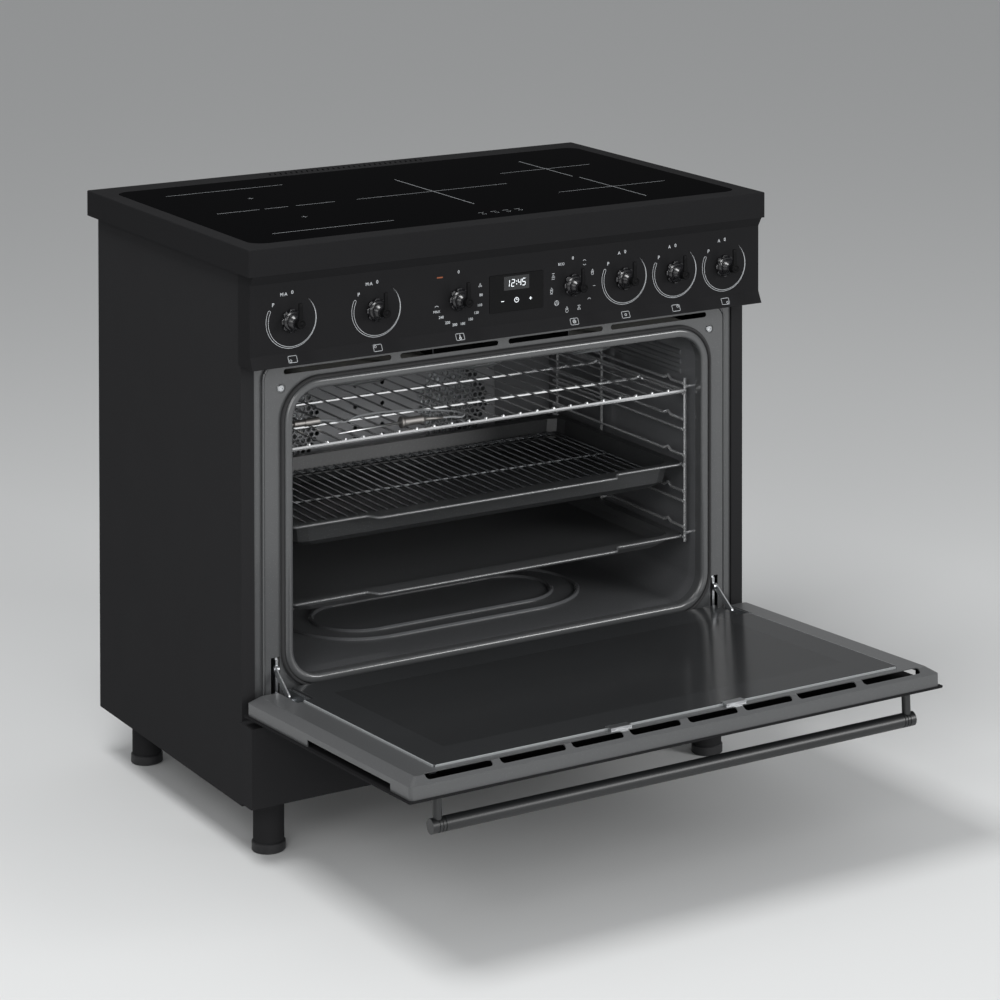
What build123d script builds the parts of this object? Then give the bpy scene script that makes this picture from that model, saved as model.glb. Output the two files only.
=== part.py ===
from build123d import *
import math
import os

os.makedirs("parts", exist_ok=True)

# Free-standing induction range with one wide electric oven, its door let down.
# Millimetres. X runs to the right, Y to the back, Z up from the floor, and the origin
# lies on the floor under the middle of the worktop.

# Outside sizes
worktop_width = 900.0
worktop_depth = 600.0
worktop_height = 905.0
skirt_height = 40.0
sheet = 1.5
clear = 0.3
running = 0.05

# Hob
frame_plate = 6.0
glass_margin = 26.0
glass_depth = 514.0
glass_thick = 4.0
glass_radius = 25.0
glass_ledge = 14.0
rear_strip = 48.0
skirt_lip = 22.0
louvre_count = 30
louvre_span = 290.0
louvre_length = 17.0
louvre_wide = 3.0
louvre_slant = 18.0
coil_thick = 9.0
coil_hole = 18.0
coil_sides = 32
coil_tray_drop = 17.0
coil_tray_flange = 6.0
board_height = 34.0
board_set = 166.0

# Cabinet
worktop_overhang = 10.0
cabinet_front_set = 50.0
cabinet_back_set = 22.0
leg_height = 80.0
post_width = 21.0
back_flange = 18.0
base_depth = 30.0
foot_set = 53.0
foot_front_set = 22.0
foot_back_set = 62.0
leg_radius = 23.0
foot_radius = 25.0
foot_thick = 15.0
foot_stem = 6.0
foot_travel = 15.0

# Front panels
panel_overlap = 4.0
panel_set = 10.0
panel_height = 136.0
panel_bevel = 14.0
panel_flare = 18.0
panel_proud = 9.0
kick_top = 205.0
kick_bottom = 87.0

# Controls
knob_drop = 111.0
knob_end_set = 66.0
knob_left_pitch = 139.0
knob_inner_x = 100.0
knob_base_radius = 17.5
knob_base_thick = 9.0
knob_neck_radius = 7.0
knob_depth = 34.0
knob_boss_radius = 6.0
lever_length = 31.0
lever_thick = 5.5
knob_shaft = 3.0
knob_scallops = 8
knob_sides = 20
display_width = 94.0
display_height = 57.0
switch_size = 38.0
switch_depth = 22.0

# Oven
stile_width = 81.0
opening_bottom = 254.0
opening_drop = 48.0
opening_radius = 45.0
rim_width = 13.0
rim_proud = 5.5
seal_width = 5.0
seal_proud = 6.5
frame_bottom = 196.0
frame_tuck = 21.0
raised_set = 45.5
raised_bottom = 214.0
raised_drop = 5.0
raised_radius = 24.0
frame_rise = 4.0
vent_height = 8.0
vent_drop = 19.0
cavity_wall = 2.0
cavity_side = 4.0
cavity_depth = 478.0
cavity_radius = 38.0
fan_chamber = 32.5
fan_x = 146.0
fan_rise = 40.5
fan_radius = 62.0
fan_thick = 20.0
fan_blades = 8
motor_radius = 30.0
motor_length = 38.0
hole_size = 6.0
hole_pitch = 12.5
insulation_thick = 14.0

# Shelves
wire_sides = 6
level_count = 5
level_drop = 101.0
level_rise = 95.6
rod_radius = 2.5
rod_gap = 16.5
rack_set = 11.0
shelf_play = 1.5
rack_front = 34.0
rack_length = 400.0
shelf_rail = 3.0
shelf_wire = 1.6
shelf_bar = 2.4
shelf_pitch = 30.0
shelf_front = 27.0
shelf_depth = 404.0
tray_lip = 19.0
tray_lip_set = 138.5
tray_rim = 14.0
tray_sheet = 1.5
tray_bend = 9.0
deep_tray_depth = 38.0
low_tray_depth = 18.0
grid_pitch = 17.0
grid_wire = 1.6
grid_drop = 20.0

# Food probe
probe_set = 91.5
probe_needle_radius = 1.6
probe_needle_length = 105.0
probe_handle_radius = 5.0
probe_handle_length = 39.0
probe_relief_length = 34.0
probe_flange_radius = 7.0
plug_set = 102.5
probe_plug_radius = 6.0
probe_plug_length = 62.0
probe_lead_radius = 1.5
lead_sides = 8

# Door
door_gap = 4.0
door_bottom = 214.0
door_proud = 2.0
door_open_angle = 87.0
skin_thick = 3.0
hinge_y_set = 10.0
hinge_rise = 15.5
pan_inset = 4.0
pan_wall = 18.0
pan_bevel_rise = 9.5
pan_bevel_run = 14.0
door_glass_thick = 3.2
door_glass_set = 56.0
door_glass_bottom = 226.0
door_glass_drop = 35.0
window_set = 52.0
window_bottom = 292.0
window_drop = 68.0
handle_radius = 10.5
handle_set = 42.0
handle_stand = 42.0
handle_drop = 22.0
post_set = 53.0
post_radius = 6.5
hinge_set = 20.5
link_length = 52.0
link_width = 10.0
link_thick = 2.5
link_angle = 57.4
link_pin = 2.5
link_rise = 43.5
link_reach = 28.0

# Places worked out from the sizes above
front_y = -worktop_depth / 2
back_y = worktop_depth / 2
cabinet_front = front_y + cabinet_front_set
cabinet_back = back_y - cabinet_back_set
face_y = front_y + panel_set
skirt_bottom = worktop_height - skirt_height
panel_bottom = skirt_bottom - panel_height
cabinet_half = worktop_width / 2 - worktop_overhang
panel_half = cabinet_half + panel_overlap
glass_width = worktop_width - 2 * glass_margin
foot_reach_x = cabinet_half - foot_set
knob_outer_x = panel_half - knob_end_set
opening_half = cabinet_half - stile_width
opening_top = panel_bottom - opening_drop
raised_half = opening_half + raised_set
raised_top = panel_bottom - raised_drop
frame_top = panel_bottom + frame_tuck
vent_z = panel_bottom - vent_drop
level_top = opening_top - level_drop
level_pitch = (level_top - opening_bottom - level_rise) / (level_count - 1)
rack_x = opening_half - rack_set
door_half = panel_half
door_top = panel_bottom - door_gap
door_glass_half = door_half - door_glass_set
door_glass_top = door_top - door_glass_drop
window_half = door_glass_half - window_set
window_top = door_glass_top - window_drop
handle_half = door_half - handle_set
post_half = door_half - post_set
hinge_x = raised_half - hinge_set
knob_z = worktop_height - knob_drop
glass_back = back_y - rear_strip
glass_mid_y = glass_back - glass_depth / 2
ledge_z = worktop_height - frame_plate
glass_bottom = worktop_height - glass_thick
cavity_half = opening_half + cavity_side
cavity_bottom = opening_bottom - cavity_side
cavity_top = opening_top + cavity_side
frame_back = cabinet_front + sheet
band_back = cabinet_front + frame_rise + sheet
cavity_back = frame_back + cavity_depth
cover_y = cavity_back - fan_chamber
fan_z = (opening_bottom + opening_top) / 2 + fan_rise
skin_y = face_y - door_proud
skin_in = skin_y + skin_thick
land_y = skin_in + pan_wall + pan_bevel_rise
glass_face = land_y + door_glass_thick
hinge_y = face_y + hinge_y_set
hinge_z = door_bottom + hinge_rise
link_y = hinge_y + link_reach
link_z = hinge_z + link_rise
right_pitch = (knob_outer_x - knob_inner_x) / 3
knob_places = [
    ("zone_knob_1", -knob_outer_x),
    ("zone_knob_2", -knob_outer_x + knob_left_pitch),
    ("thermostat_knob", -knob_inner_x),
    ("function_knob", knob_inner_x),
    ("zone_knob_3", knob_inner_x + right_pitch),
    ("zone_knob_4", knob_inner_x + 2 * right_pitch),
    ("zone_knob_5", knob_outer_x),
]
# Centres and radii of the five coils, from the middle of the worktop
tray_half_x = glass_width / 2 - glass_ledge + coil_tray_flange
tray_half_y = glass_depth / 2 - glass_ledge + coil_tray_flange
coil_places = [
    (151 - tray_half_x, 90, 88),
    (151 - tray_half_x, -99, 88),
    (10, -7, 125),
    (tray_half_x - 144, 82, 88),
    (tray_half_x - 141, -122, 98),
]
rack_front_y = cabinet_front + rack_front
shelf_front_y = cabinet_front + shelf_front
shelf_back_y = shelf_front_y + shelf_depth
shelf_half = rack_x - shelf_play
tray_lip_half = shelf_half - tray_lip_set


def block(x0, x1, y0, y1, z0, z1):
    """A box between two corners."""
    size = Box(abs(x1 - x0), y1 - y0, z1 - z0)
    return Pos((x0 + x1) / 2, (y0 + y1) / 2, (z0 + z1) / 2) * size


def pill(half_x, z0, z1, radius, y0, y1, x=0.0):
    """A rounded rectangle in the XZ plane, between two depths."""
    plane = Plane((x, y0, (z0 + z1) / 2), x_dir=(1, 0, 0), z_dir=(0, 1, 0))
    return extrude(plane * RectangleRounded(2 * half_x, z1 - z0, radius), y1 - y0)


def round_x(radius, x0, x1, y, z):
    """A cylinder along X."""
    plane = Plane((min(x0, x1), y, z), x_dir=(0, 1, 0), z_dir=(1, 0, 0))
    return extrude(plane * Circle(radius), abs(x1 - x0))


def round_y(radius, y0, y1, x, z):
    """A cylinder along Y."""
    plane = Plane((x, y0, z), x_dir=(1, 0, 0), z_dir=(0, 1, 0))
    return extrude(plane * Circle(radius), y1 - y0)


def round_z(radius, z0, z1, x, y):
    """A cylinder along Z."""
    return extrude(Plane((x, y, z0)) * Circle(radius), z1 - z0)


def wire(points, radius, sides=wire_sides):
    """A drawn wire with mitred bends, along straight runs."""
    path = Polyline(*points)
    across = (0, 0, 1) if abs(points[1][2] - points[0][2]) < 0.1 else (0, 1, 0)
    start = Vector(*points[1]) - Vector(*points[0])
    plane = Plane(points[0], x_dir=Vector(*across).cross(start), z_dir=start)
    section = plane * RegularPolygon(radius, sides)
    return sweep(section, path=path, transition=Transition.RIGHT)


def side_pair(make):
    """The same piece on the left and on the right."""
    return [make(-1), make(1)]


def joined(shapes):
    """One solid from many that touch."""
    return shapes[0] + shapes[1:]


def save(name, shapes):
    """Writes one node, of one solid or of several like ones."""
    if isinstance(shapes, list):
        shapes = Compound(children=shapes)
    export_step(shapes, "parts/" + name + ".step")


# Hob
def hob_frame():
    outer = block(-worktop_width / 2, worktop_width / 2, front_y, back_y, skirt_bottom, worktop_height)
    outer = chamfer(outer.edges().filter_by(Axis.Z), 1.5)
    outer = chamfer(outer.faces().sort_by(Axis.Z)[-1].edges(), 1.0)
    wall = 2.0
    hollow = block(
        -worktop_width / 2 + wall,
        worktop_width / 2 - wall,
        front_y + wall,
        back_y - wall,
        skirt_bottom + wall,
        ledge_z,
    )
    mouth = block(
        -worktop_width / 2 + skirt_lip,
        worktop_width / 2 - skirt_lip,
        front_y + skirt_lip,
        back_y - skirt_lip,
        skirt_bottom - 1,
        skirt_bottom + wall + 1,
    )
    pocket_plane = Plane((0, glass_mid_y, glass_bottom))
    pocket = extrude(
        pocket_plane * RectangleRounded(glass_width + 2 * clear, glass_depth + 2 * clear, glass_radius),
        glass_thick + 1,
    )
    hole_plane = Plane((0, glass_mid_y, ledge_z - 1))
    hole = extrude(
        hole_plane * RectangleRounded(glass_width - 2 * glass_ledge, glass_depth - 2 * glass_ledge, glass_radius - 8),
        frame_plate + 2,
    )
    frame = outer - hollow - mouth - pocket - hole
    strip_y = (glass_back + back_y) / 2
    step = louvre_span / louvre_count
    slot = extrude(Plane((0, 0, ledge_z - 1)) * Rectangle(louvre_wide, louvre_length), frame_plate + 2)
    louvres = [
        Pos(-louvre_span / 2 + (i + 0.5) * step, strip_y, 0) * Rot(0, 0, -louvre_slant) * slot
        for i in range(louvre_count)
    ]
    return frame - louvres


def ceramic_glass():
    plane = Plane((0, glass_mid_y, glass_bottom))
    glass = extrude(plane * RectangleRounded(glass_width, glass_depth, glass_radius), glass_thick)
    return chamfer(glass.faces().sort_by(Axis.Z)[-1].edges(), 0.8)


coil_floor = ledge_z - coil_tray_drop
board_x = tray_half_x - board_set


def coil_tray():
    pan = block(
        -tray_half_x,
        tray_half_x,
        glass_mid_y - tray_half_y,
        glass_mid_y + tray_half_y,
        coil_floor - sheet,
        ledge_z,
    )
    inside = block(
        -tray_half_x + sheet,
        tray_half_x - sheet,
        glass_mid_y - tray_half_y + sheet,
        glass_mid_y + tray_half_y - sheet,
        coil_floor,
        ledge_z + 1,
    )
    return pan - inside


def induction_coils():
    coils = []
    for x, y, radius in coil_places:
        plane = Plane((x, y, coil_floor))
        ring = RegularPolygon(radius, coil_sides) - RegularPolygon(coil_hole, coil_sides)
        coils.append(extrude(plane * ring, coil_thick))
    return coils


def power_boards():
    """Three inverter boards with finned heat sinks, hung under the coil tray."""
    top = coil_floor - sheet
    boards = []
    for x in (-board_x, 0, board_x):
        board = block(x - 90, x + 90, -130, 60, top - 3, top)
        sink = block(x - 70, x + 70, -90, -30, top - board_height, top - 3)
        gaps = [block(x + 20 * i - 7, x + 20 * i + 7, -91, -29, top - board_height - 1, top - 12) for i in range(-3, 4)]
        boards.append(board + (sink - gaps))
    return boards


# Cabinet
def side_panel(side):
    """A steel side with a front post, a back flange and a flange under the worktop."""
    edge = cabinet_half
    lines = [
        (side * (edge - post_width), cabinet_front + frame_rise),
        (side * (edge - post_width), cabinet_front),
        (side * edge, cabinet_front),
        (side * edge, cabinet_back),
        (side * (edge - back_flange), cabinet_back),
    ]
    inner = [
        (side * (edge - back_flange), cabinet_back - sheet),
        (side * (edge - sheet), cabinet_back - sheet),
        (side * (edge - sheet), cabinet_front + sheet),
        (side * (edge - post_width + sheet), cabinet_front + sheet),
        (side * (edge - post_width + sheet), cabinet_front + frame_rise),
    ]
    outline = make_face(Polyline(*lines, *inner, close=True))
    return extrude(Plane((0, 0, leg_height)) * outline, skirt_bottom - leg_height)


def back_panel():
    bottom = leg_height
    top = skirt_bottom
    sheet_back = block(
        -cabinet_half + clear,
        cabinet_half - clear,
        cabinet_back,
        cabinet_back + sheet,
        bottom,
        top,
    )
    slots = []
    for row in range(2):
        for i in range(-5, 6):
            x = 40.0 * i
            z = top - 62 - 34 * row
            slots.append(block(x - 14, x + 14, cabinet_back - 1, cabinet_back + 4, z, z + 8))
    holes = [round_y(tip_hole / 2, cabinet_back - 1, cabinet_back + 4, x, tip_z) for x in (-tip_x, tip_x)]
    return sheet_back - slots - holes


tip_hole = 6.0
tip_x = cabinet_half - 80
tip_z = skirt_bottom - 85
box_x = cabinet_half - 140
box_z = 170.0


def terminal_box():
    """A lidded box for the supply cable, with its inlet in the bottom wall."""
    y0 = cabinet_back + sheet
    shell = block(box_x - 60, box_x + 60, y0, back_y - 2, box_z - 45, box_z + 45)
    shell = chamfer(shell.edges().filter_by(Axis.Y), 4)
    room = block(box_x - 57, box_x + 57, y0 - 1, back_y - 5, box_z - 41, box_z + 41)
    inlet = round_z(inlet_hole / 2, box_z - 46, box_z - 40, box_x, (y0 + back_y - 2) / 2)
    return shell - room - inlet


inlet_hole = 14.0


def base_frame():
    """The bottom pan of the cabinet with its four leg sleeves."""
    half = cabinet_half - sheet
    y0 = cabinet_front + frame_rise
    y1 = cabinet_back - sheet
    top = leg_height + base_depth
    pan = block(-half, half, y0, y1, leg_height, top)
    pan -= block(-half + sheet, half - sheet, y0 + sheet, y1 - sheet, leg_height + sheet, top + 1)
    for x in (-foot_reach_x, foot_reach_x):
        for y in (cabinet_front + foot_front_set, cabinet_back - foot_back_set):
            pan += round_z(leg_radius, foot_thick + clear, leg_height, x, y)
            pan += round_z(foot_stem + 6, leg_height, top, x, y)
            pan -= round_z(foot_stem + running, foot_thick, top + 1, x, y)
    return pan


def foot(x, y):
    """A levelling foot: a round pad with a stem that screws into the leg."""
    pad = round_z(foot_radius, 0, foot_thick, x, y)
    pad = chamfer(pad.edges(), 1.5)
    return pad + round_z(foot_stem, foot_thick - 1, leg_height + base_depth - 5, x, y)


def kick_panel():
    """A folded toe panel with side returns back to the cabinet posts."""
    rear = cabinet_front
    shell = block(-panel_half, panel_half, face_y, rear, kick_bottom, kick_top)
    shell = chamfer(shell.edges().filter_by(Axis.Z), 1.0)
    room = block(
        -panel_half + sheet,
        panel_half - sheet,
        face_y + sheet,
        rear - sheet,
        kick_bottom + sheet,
        kick_top - sheet,
    )
    flange = cabinet_half - post_width + 8
    mouth = block(-flange, flange, rear - 2 * sheet, rear + 1, kick_bottom + sheet, kick_top - sheet)
    return shell - room - mouth


# Control panel
def control_panel():
    """A pressed steel panel whose top and bottom lips lean forward."""
    lip = face_y - panel_proud
    side_outline = [
        (lip, skirt_bottom),
        (face_y, skirt_bottom - panel_bevel),
        (face_y, panel_bottom + panel_flare),
        (lip, panel_bottom),
        (cabinet_front, panel_bottom),
        (cabinet_front, skirt_bottom),
    ]
    hollow = [
        (lip + 2 * sheet, skirt_bottom - sheet),
        (face_y + sheet, skirt_bottom - panel_bevel),
        (face_y + sheet, panel_bottom + panel_flare),
        (lip + 2 * sheet, panel_bottom + sheet),
        (cabinet_front - sheet, panel_bottom + sheet),
        (cabinet_front - sheet, skirt_bottom - sheet),
    ]
    across = Plane((-panel_half, 0, 0), x_dir=(0, 1, 0), z_dir=(1, 0, 0))
    body = extrude(across * make_face(Polyline(*side_outline, close=True)), 2 * panel_half)
    inset = Plane((-panel_half + sheet, 0, 0), x_dir=(0, 1, 0), z_dir=(1, 0, 0))
    room = extrude(inset * make_face(Polyline(*hollow, close=True)), 2 * (panel_half - sheet))
    flange = cabinet_half - post_width + 8
    mouth = block(-flange, flange, cabinet_front - 2 * sheet, cabinet_front + 1, panel_bottom + sheet, skirt_bottom - sheet)
    body = body - room - mouth
    shafts = [round_y(knob_shaft + 1.5, face_y - 2, face_y + 4, x, knob_z) for name, x in knob_places]
    window = pill(
        display_width / 2 + clear,
        knob_z - display_height / 2 - clear,
        knob_z + display_height / 2 + clear,
        2.0,
        face_y - 2,
        face_y + 4,
    )
    return body - shafts - window


def clock_display():
    """The clock's glass in the panel window, on its module behind the panel."""
    front = pill(
        display_width / 2,
        knob_z - display_height / 2,
        knob_z + display_height / 2,
        1.8,
        face_y - 0.6,
        face_y + sheet,
    )
    module = block(
        -display_width / 2 - 6,
        display_width / 2 + 6,
        face_y + sheet,
        face_y + 18,
        knob_z - display_height / 2 - 6,
        knob_z + display_height / 2 + 6,
    )
    return front + module


def knob_switch(x):
    """A rotary switch with a bush for the knob's shaft."""
    body = block(
        x - switch_size / 2,
        x + switch_size / 2,
        face_y + sheet,
        face_y + sheet + switch_depth,
        knob_z - switch_size / 2,
        knob_z + switch_size / 2,
    )
    body = chamfer(body.edges().filter_by(Axis.Y), 4)
    return body - round_y(knob_shaft + running, face_y, face_y + 40, x, knob_z)


def knob(x):
    """A knob with a lobed collar, a stepped neck and a lever on its front boss."""
    lobes = []
    for i in range(4 * knob_scallops):
        angle = 2 * math.pi * (i + 0.5) / (4 * knob_scallops)
        dip = 2.4 if i % 4 == 0 else 0.8 if i % 4 in (1, 3) else 0.0
        reach = knob_base_radius - dip
        lobes.append((reach * math.cos(angle), reach * math.sin(angle)))
    back = Plane((0, 0, 0), x_dir=(1, 0, 0), z_dir=(0, -1, 0))
    collar = extrude(back * make_face(Polyline(*lobes, close=True)), knob_base_thick)
    steps = [
        (knob_base_thick - 1, knob_base_radius - 3),
        (knob_base_thick + 3, knob_base_radius - 5),
        (knob_base_thick + 9, knob_neck_radius + 1),
        (knob_depth - 12, knob_neck_radius),
        (knob_depth, knob_boss_radius),
    ]
    rings = [
        Plane((0, -depth, 0), x_dir=(1, 0, 0), z_dir=(0, -1, 0)) * RegularPolygon(radius, knob_sides)
        for depth, radius in steps
    ]
    arm_y = -knob_depth + lever_thick / 2 + 1
    foot_plane = Plane((0, arm_y, 0))
    tip_plane = Plane((0, arm_y - 1.5, lever_length))
    arm = loft([
        foot_plane * Rectangle(8.5, lever_thick),
        tip_plane * Rectangle(4.6, lever_thick - 2),
    ])
    shaft = round_y(knob_shaft, -1, switch_depth + sheet + 3, 0, 0)
    return Pos(x, face_y - 1.0, knob_z) * (collar + loft(rings, ruled=True) + arm + shaft)


# Oven front
def front_frame():
    """The enamelled oven front: a stamped plate, its rolled rim, vent slots and dimples."""
    front = cabinet_front
    back = band_back
    band_half = cabinet_half - sheet - clear
    plate = block(-band_half, band_half, front + frame_rise, back, frame_bottom, frame_top)
    raised = pill(raised_half, raised_bottom, raised_top, raised_radius, front, back)
    raised = chamfer(raised.faces().sort_by(Axis.Y)[0].edges(), 2.5)
    hollow = pill(
        raised_half - 2 * sheet,
        raised_bottom + 2 * sheet,
        raised_top - 2 * sheet,
        raised_radius - 2 * sheet,
        frame_back,
        back + 1,
    )
    rim_half = opening_half + rim_width
    rim = pill(
        rim_half,
        opening_bottom - rim_width,
        opening_top + rim_width,
        opening_radius + rim_width,
        front - rim_proud,
        front + 1,
    )
    rim = chamfer(rim.faces().sort_by(Axis.Y)[0].edges(), 3.5)
    frame = plate + raised - hollow + rim
    frame += pill(
        opening_half + 3,
        opening_bottom - 3,
        opening_top + 3,
        opening_radius + 3,
        front,
        back + 8,
    )
    mouth = pill(opening_half, opening_bottom, opening_top, opening_radius, front - 20, back + 20)
    frame -= mouth
    edges = [e for e in frame.faces().sort_by(Axis.Y)[0].edges() if abs(e.center().X) < opening_half + 1]
    inner = [e for e in edges if e.center().Z > opening_bottom - 1 and e.center().Z < opening_top + 1]
    frame = chamfer(inner, 3.0)
    for x0, x1 in vent_spans:
        for side in (-1, 1):
            middle = side * (x0 + x1) / 2
            frame -= pill((x1 - x0) / 2, vent_z - vent_height / 2, vent_z + vent_height / 2, 3.9, front - 2, back + 2, middle)
    for side in (-1, 1):
        frame -= round_y(8.0, front - 1, front + dimple_depth, side * dimple_x, dimple_z)
        frame -= block(
            side * (hinge_x - 5),
            side * (hinge_x + 9),
            front - 2,
            back + 2,
            hinge_z - 12,
            link_z + 17,
        )
    return frame


vent_spans = [(9, 178), (193, raised_half - 33.5)]
dimple_x = raised_half - 28.5
dimple_z = opening_top + 5.5
dimple_depth = 0.8


def door_seal():
    """A tubular gasket that runs round the oven's rim."""
    half = opening_half + rim_width + clear
    low = opening_bottom - rim_width - clear
    high = opening_top + rim_width + clear
    radius = opening_radius + rim_width
    y0 = cabinet_front - seal_proud
    ring = pill(half + seal_width, low - seal_width, high + seal_width, radius + seal_width, y0, cabinet_front)
    ring -= pill(half, low, high, radius, y0 - 1, cabinet_front + 1)
    return chamfer(ring.faces().sort_by(Axis.Y)[0].edges(), 1.6)


def oven_cavity():
    """The enamelled muffle with its front flange, side ribs, floor rings and shaft holes."""
    y0 = frame_back
    y1 = cavity_back
    wall = cavity_wall
    shell = pill(cavity_half + wall, cavity_bottom - wall, cavity_top + wall, cavity_radius + wall, y0, y1 + wall)
    flange = pill(cavity_half + 14, cavity_bottom - 14, cavity_top + 14, cavity_radius + 12, y0, y0 + wall)
    room = pill(cavity_half, cavity_bottom, cavity_top, cavity_radius, y0 - 1, y1)
    body = shell + flange - room
    for side in (-1, 1):
        for i in range(3):
            z = cavity_top - cavity_radius - 8 - 15 * i
            rib = round_y(5.0, y0 + 60, y1 - 60, side * (cavity_half + 2.0), z)
            body += rib
    body -= [
        block(side * (cavity_half + wall), side * (cavity_half + wall + 20), y0 + 20, y1, cavity_bottom, cavity_top)
        for side in (-1, 1)
    ]
    floor_y = (y0 + cover_y) / 2 + 4
    for half_x, half_y in ((floor_ring, 120), (floor_ring - 42, 78)):
        plane = Plane((0, floor_y, cavity_bottom - 0.5))
        outer = RectangleRounded(2 * half_x, 2 * half_y, half_y - 2)
        inner = RectangleRounded(2 * half_x - 16, 2 * half_y - 16, half_y - 10)
        ring = extrude(plane * (outer - inner), 4.0)
        body += chamfer(ring.faces().sort_by(Axis.Z)[-1].edges(), 2.5)
    for side in (-1, 1):
        body -= round_y(motor_shaft + 3, y1 - 1, y1 + 5, side * fan_x, fan_z)
    return body


motor_shaft = 4.0
floor_ring = opening_half - 107


def insulation():
    """A mineral wool sleeve round the muffle."""
    y0 = frame_back + 8
    y1 = cavity_back
    half = cavity_half + cavity_wall
    grow = insulation_thick
    low = cavity_bottom - cavity_wall
    high = cavity_top + cavity_wall
    sleeve = pill(half + grow, low - grow, high + grow, cavity_radius + cavity_wall + 10, y0, y1)
    return sleeve - pill(half, low, high, cavity_radius + cavity_wall, y0 - 1, y1 + 1)


def fan_cover():
    """The perforated false back of the oven, with one round field of holes for each fan."""
    half = cavity_half - 22
    low = cavity_bottom + 8
    high = cavity_top - 14
    pan = pill(half, low, high, cavity_radius - 8, cover_y, cavity_back)
    pan -= pill(half - sheet, low + sheet, high - sheet, cavity_radius - 9.5, cover_y + sheet, cavity_back + 1)
    holes = []
    rows = int(fan_field / (hole_pitch * 0.866)) + 1
    for side in (-1, 1):
        for row in range(-rows, rows + 1):
            for col in range(-rows - 1, rows + 2):
                dx = hole_pitch * (col + 0.5 * (row % 2))
                dz = hole_pitch * 0.866 * row
                if math.hypot(dx, dz) < fan_field:
                    holes.append((side * fan_x + dx, fan_z + dz))
    for side in (-1, 1):
        for row in range(6):
            holes.append((side * column_x, fan_z + 20 * (row - 2.5)))
    face = Plane((0, cover_y - 1, 0), x_dir=(1, 0, 0), z_dir=(0, 1, 0))
    cutter = extrude(face * RegularPolygon(hole_size / 2, 6), sheet + 2)
    return pan - [Pos(x, 0, z) * cutter for x, z in holes]


fan_field = 56.0
column_x = 24.0


def convection_fan(side):
    """A radial fan wheel on its shaft, behind the false back."""
    back = cavity_back - 6
    front = back - fan_thick
    x = side * fan_x
    wheel = round_y(fan_radius, back - 1.5, back, x, fan_z)
    for i in range(fan_blades):
        angle = 360 * i / fan_blades
        blade = block(18, fan_radius - 3, front, back - 1, -0.9, 0.9)
        wheel += Pos(x, 0, fan_z) * (Rot(0, angle, 0) * blade)
    wheel += round_y(9, front + 2, back, x, fan_z)
    wheel += round_y(motor_shaft, back - 1, cavity_back + cavity_wall + motor_length - 6, x, fan_z)
    return wheel


def fan_motor(side):
    """A shaded-pole motor on the back of the muffle."""
    y0 = cavity_back + cavity_wall
    body = round_y(motor_radius, y0, y0 + motor_length, side * fan_x, fan_z)
    body = chamfer(body.faces().sort_by(Axis.Y)[-1].edges(), 3)
    return body - round_y(motor_shaft + running, y0 - 1, y0 + motor_length - 4, side * fan_x, fan_z)


def ring_element(side):
    """A ring heater round a fan, with two terminals through the back wall."""
    plane = Plane((side * fan_x, cavity_back - 22, fan_z), x_dir=(1, 0, 0), z_dir=(0, 1, 0))
    ring = extrude(plane * (Circle(fan_radius + 19) - Circle(fan_radius + 12)), 7)
    for dx in (-9, 9):
        ring += round_y(3, cavity_back - 20, cavity_back, side * fan_x + dx, fan_z + fan_radius + 15.5)
    return ring


def grill_element():
    """The roof heater: one tube bent to and fro, hung from the roof by its ends."""
    z = cavity_top - 24
    y0 = cabinet_front + 70
    y1 = cover_y - 70
    xs = [grill_half * (2 * i / 5 - 1) for i in range(6)]
    points = []
    for i, x in enumerate(xs):
        near, far = (y1, y0) if i % 2 == 0 else (y0, y1)
        points += [(x, near, z), (x, far, z)]
    points = [(xs[0], cover_y - 1, z)] + points[1:-1] + [(xs[-1], cover_y - 1, z)]
    path = FilletPolyline(*points, radius=38)
    plane = Plane(points[0], x_dir=(1, 0, 0), z_dir=(0, -1, 0))
    tube = sweep(plane * RegularPolygon(4.0, wire_sides), path=path)
    for x in (xs[0], xs[-1]):
        tube += block(x - 8, x + 8, cover_y - 6, cover_y, z - 8, z + 8)
    return tube


grill_half = opening_half - 109


def frame_screw(side):
    """A round-headed screw in a dimple of the oven front."""
    head = round_y(5.5, cabinet_front - 1.5, cabinet_front + dimple_depth, side * dimple_x, dimple_z)
    head = chamfer(head.faces().sort_by(Axis.Y)[0].edges(), 1.0)
    cross = block(side * dimple_x - 3, side * dimple_x + 3, cabinet_front - 3, cabinet_front, dimple_z - 0.6, dimple_z + 0.6)
    return head - cross


# Shelf supports and shelves
def side_rack(side):
    """A wire ladder of five pairs of rods, hooked to the side wall."""
    x = side * rack_x
    y0 = rack_front_y
    y1 = y0 + rack_length
    low = level_top - (level_count - 1) * level_pitch
    high = level_top + rod_gap
    post_x = x + side * (2 * rod_radius - 0.4)
    posts = (y0, y0 + 0.64 * rack_length, y1)
    ladder = []
    for y in posts:
        ladder.append(wire([(post_x, y, low - 8), (post_x, y, high + 8)], rod_radius))
    for level in range(level_count):
        z = level_top - level * level_pitch
        ladder.append(wire([(x, y0 - 2, z), (x, y1 + 4, z)], rod_radius))
        top = z + rod_gap
        bumps = [
            (x, y0 - 2, top),
            (x, y0 + 34, top),
            (x, y0 + 42, top + 5),
            (x, y0 + 54, top),
            (x, y1 + 4, top),
        ]
        ladder.append(wire(bumps, rod_radius))
    for y in posts:
        for z in (low + 6, high - 6):
            ladder.append(round_x(rod_radius, post_x, side * cavity_half, y, z))
    return joined(ladder)


def shelf_level(level):
    """The underside of a shelf at a level counted from the top."""
    return level_top - (level - 1) * level_pitch + rod_radius + clear


shelf_wire_z = shelf_level(1) + shelf_rail - 1.5
shelf_top_z = shelf_wire_z + shelf_wire


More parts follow.
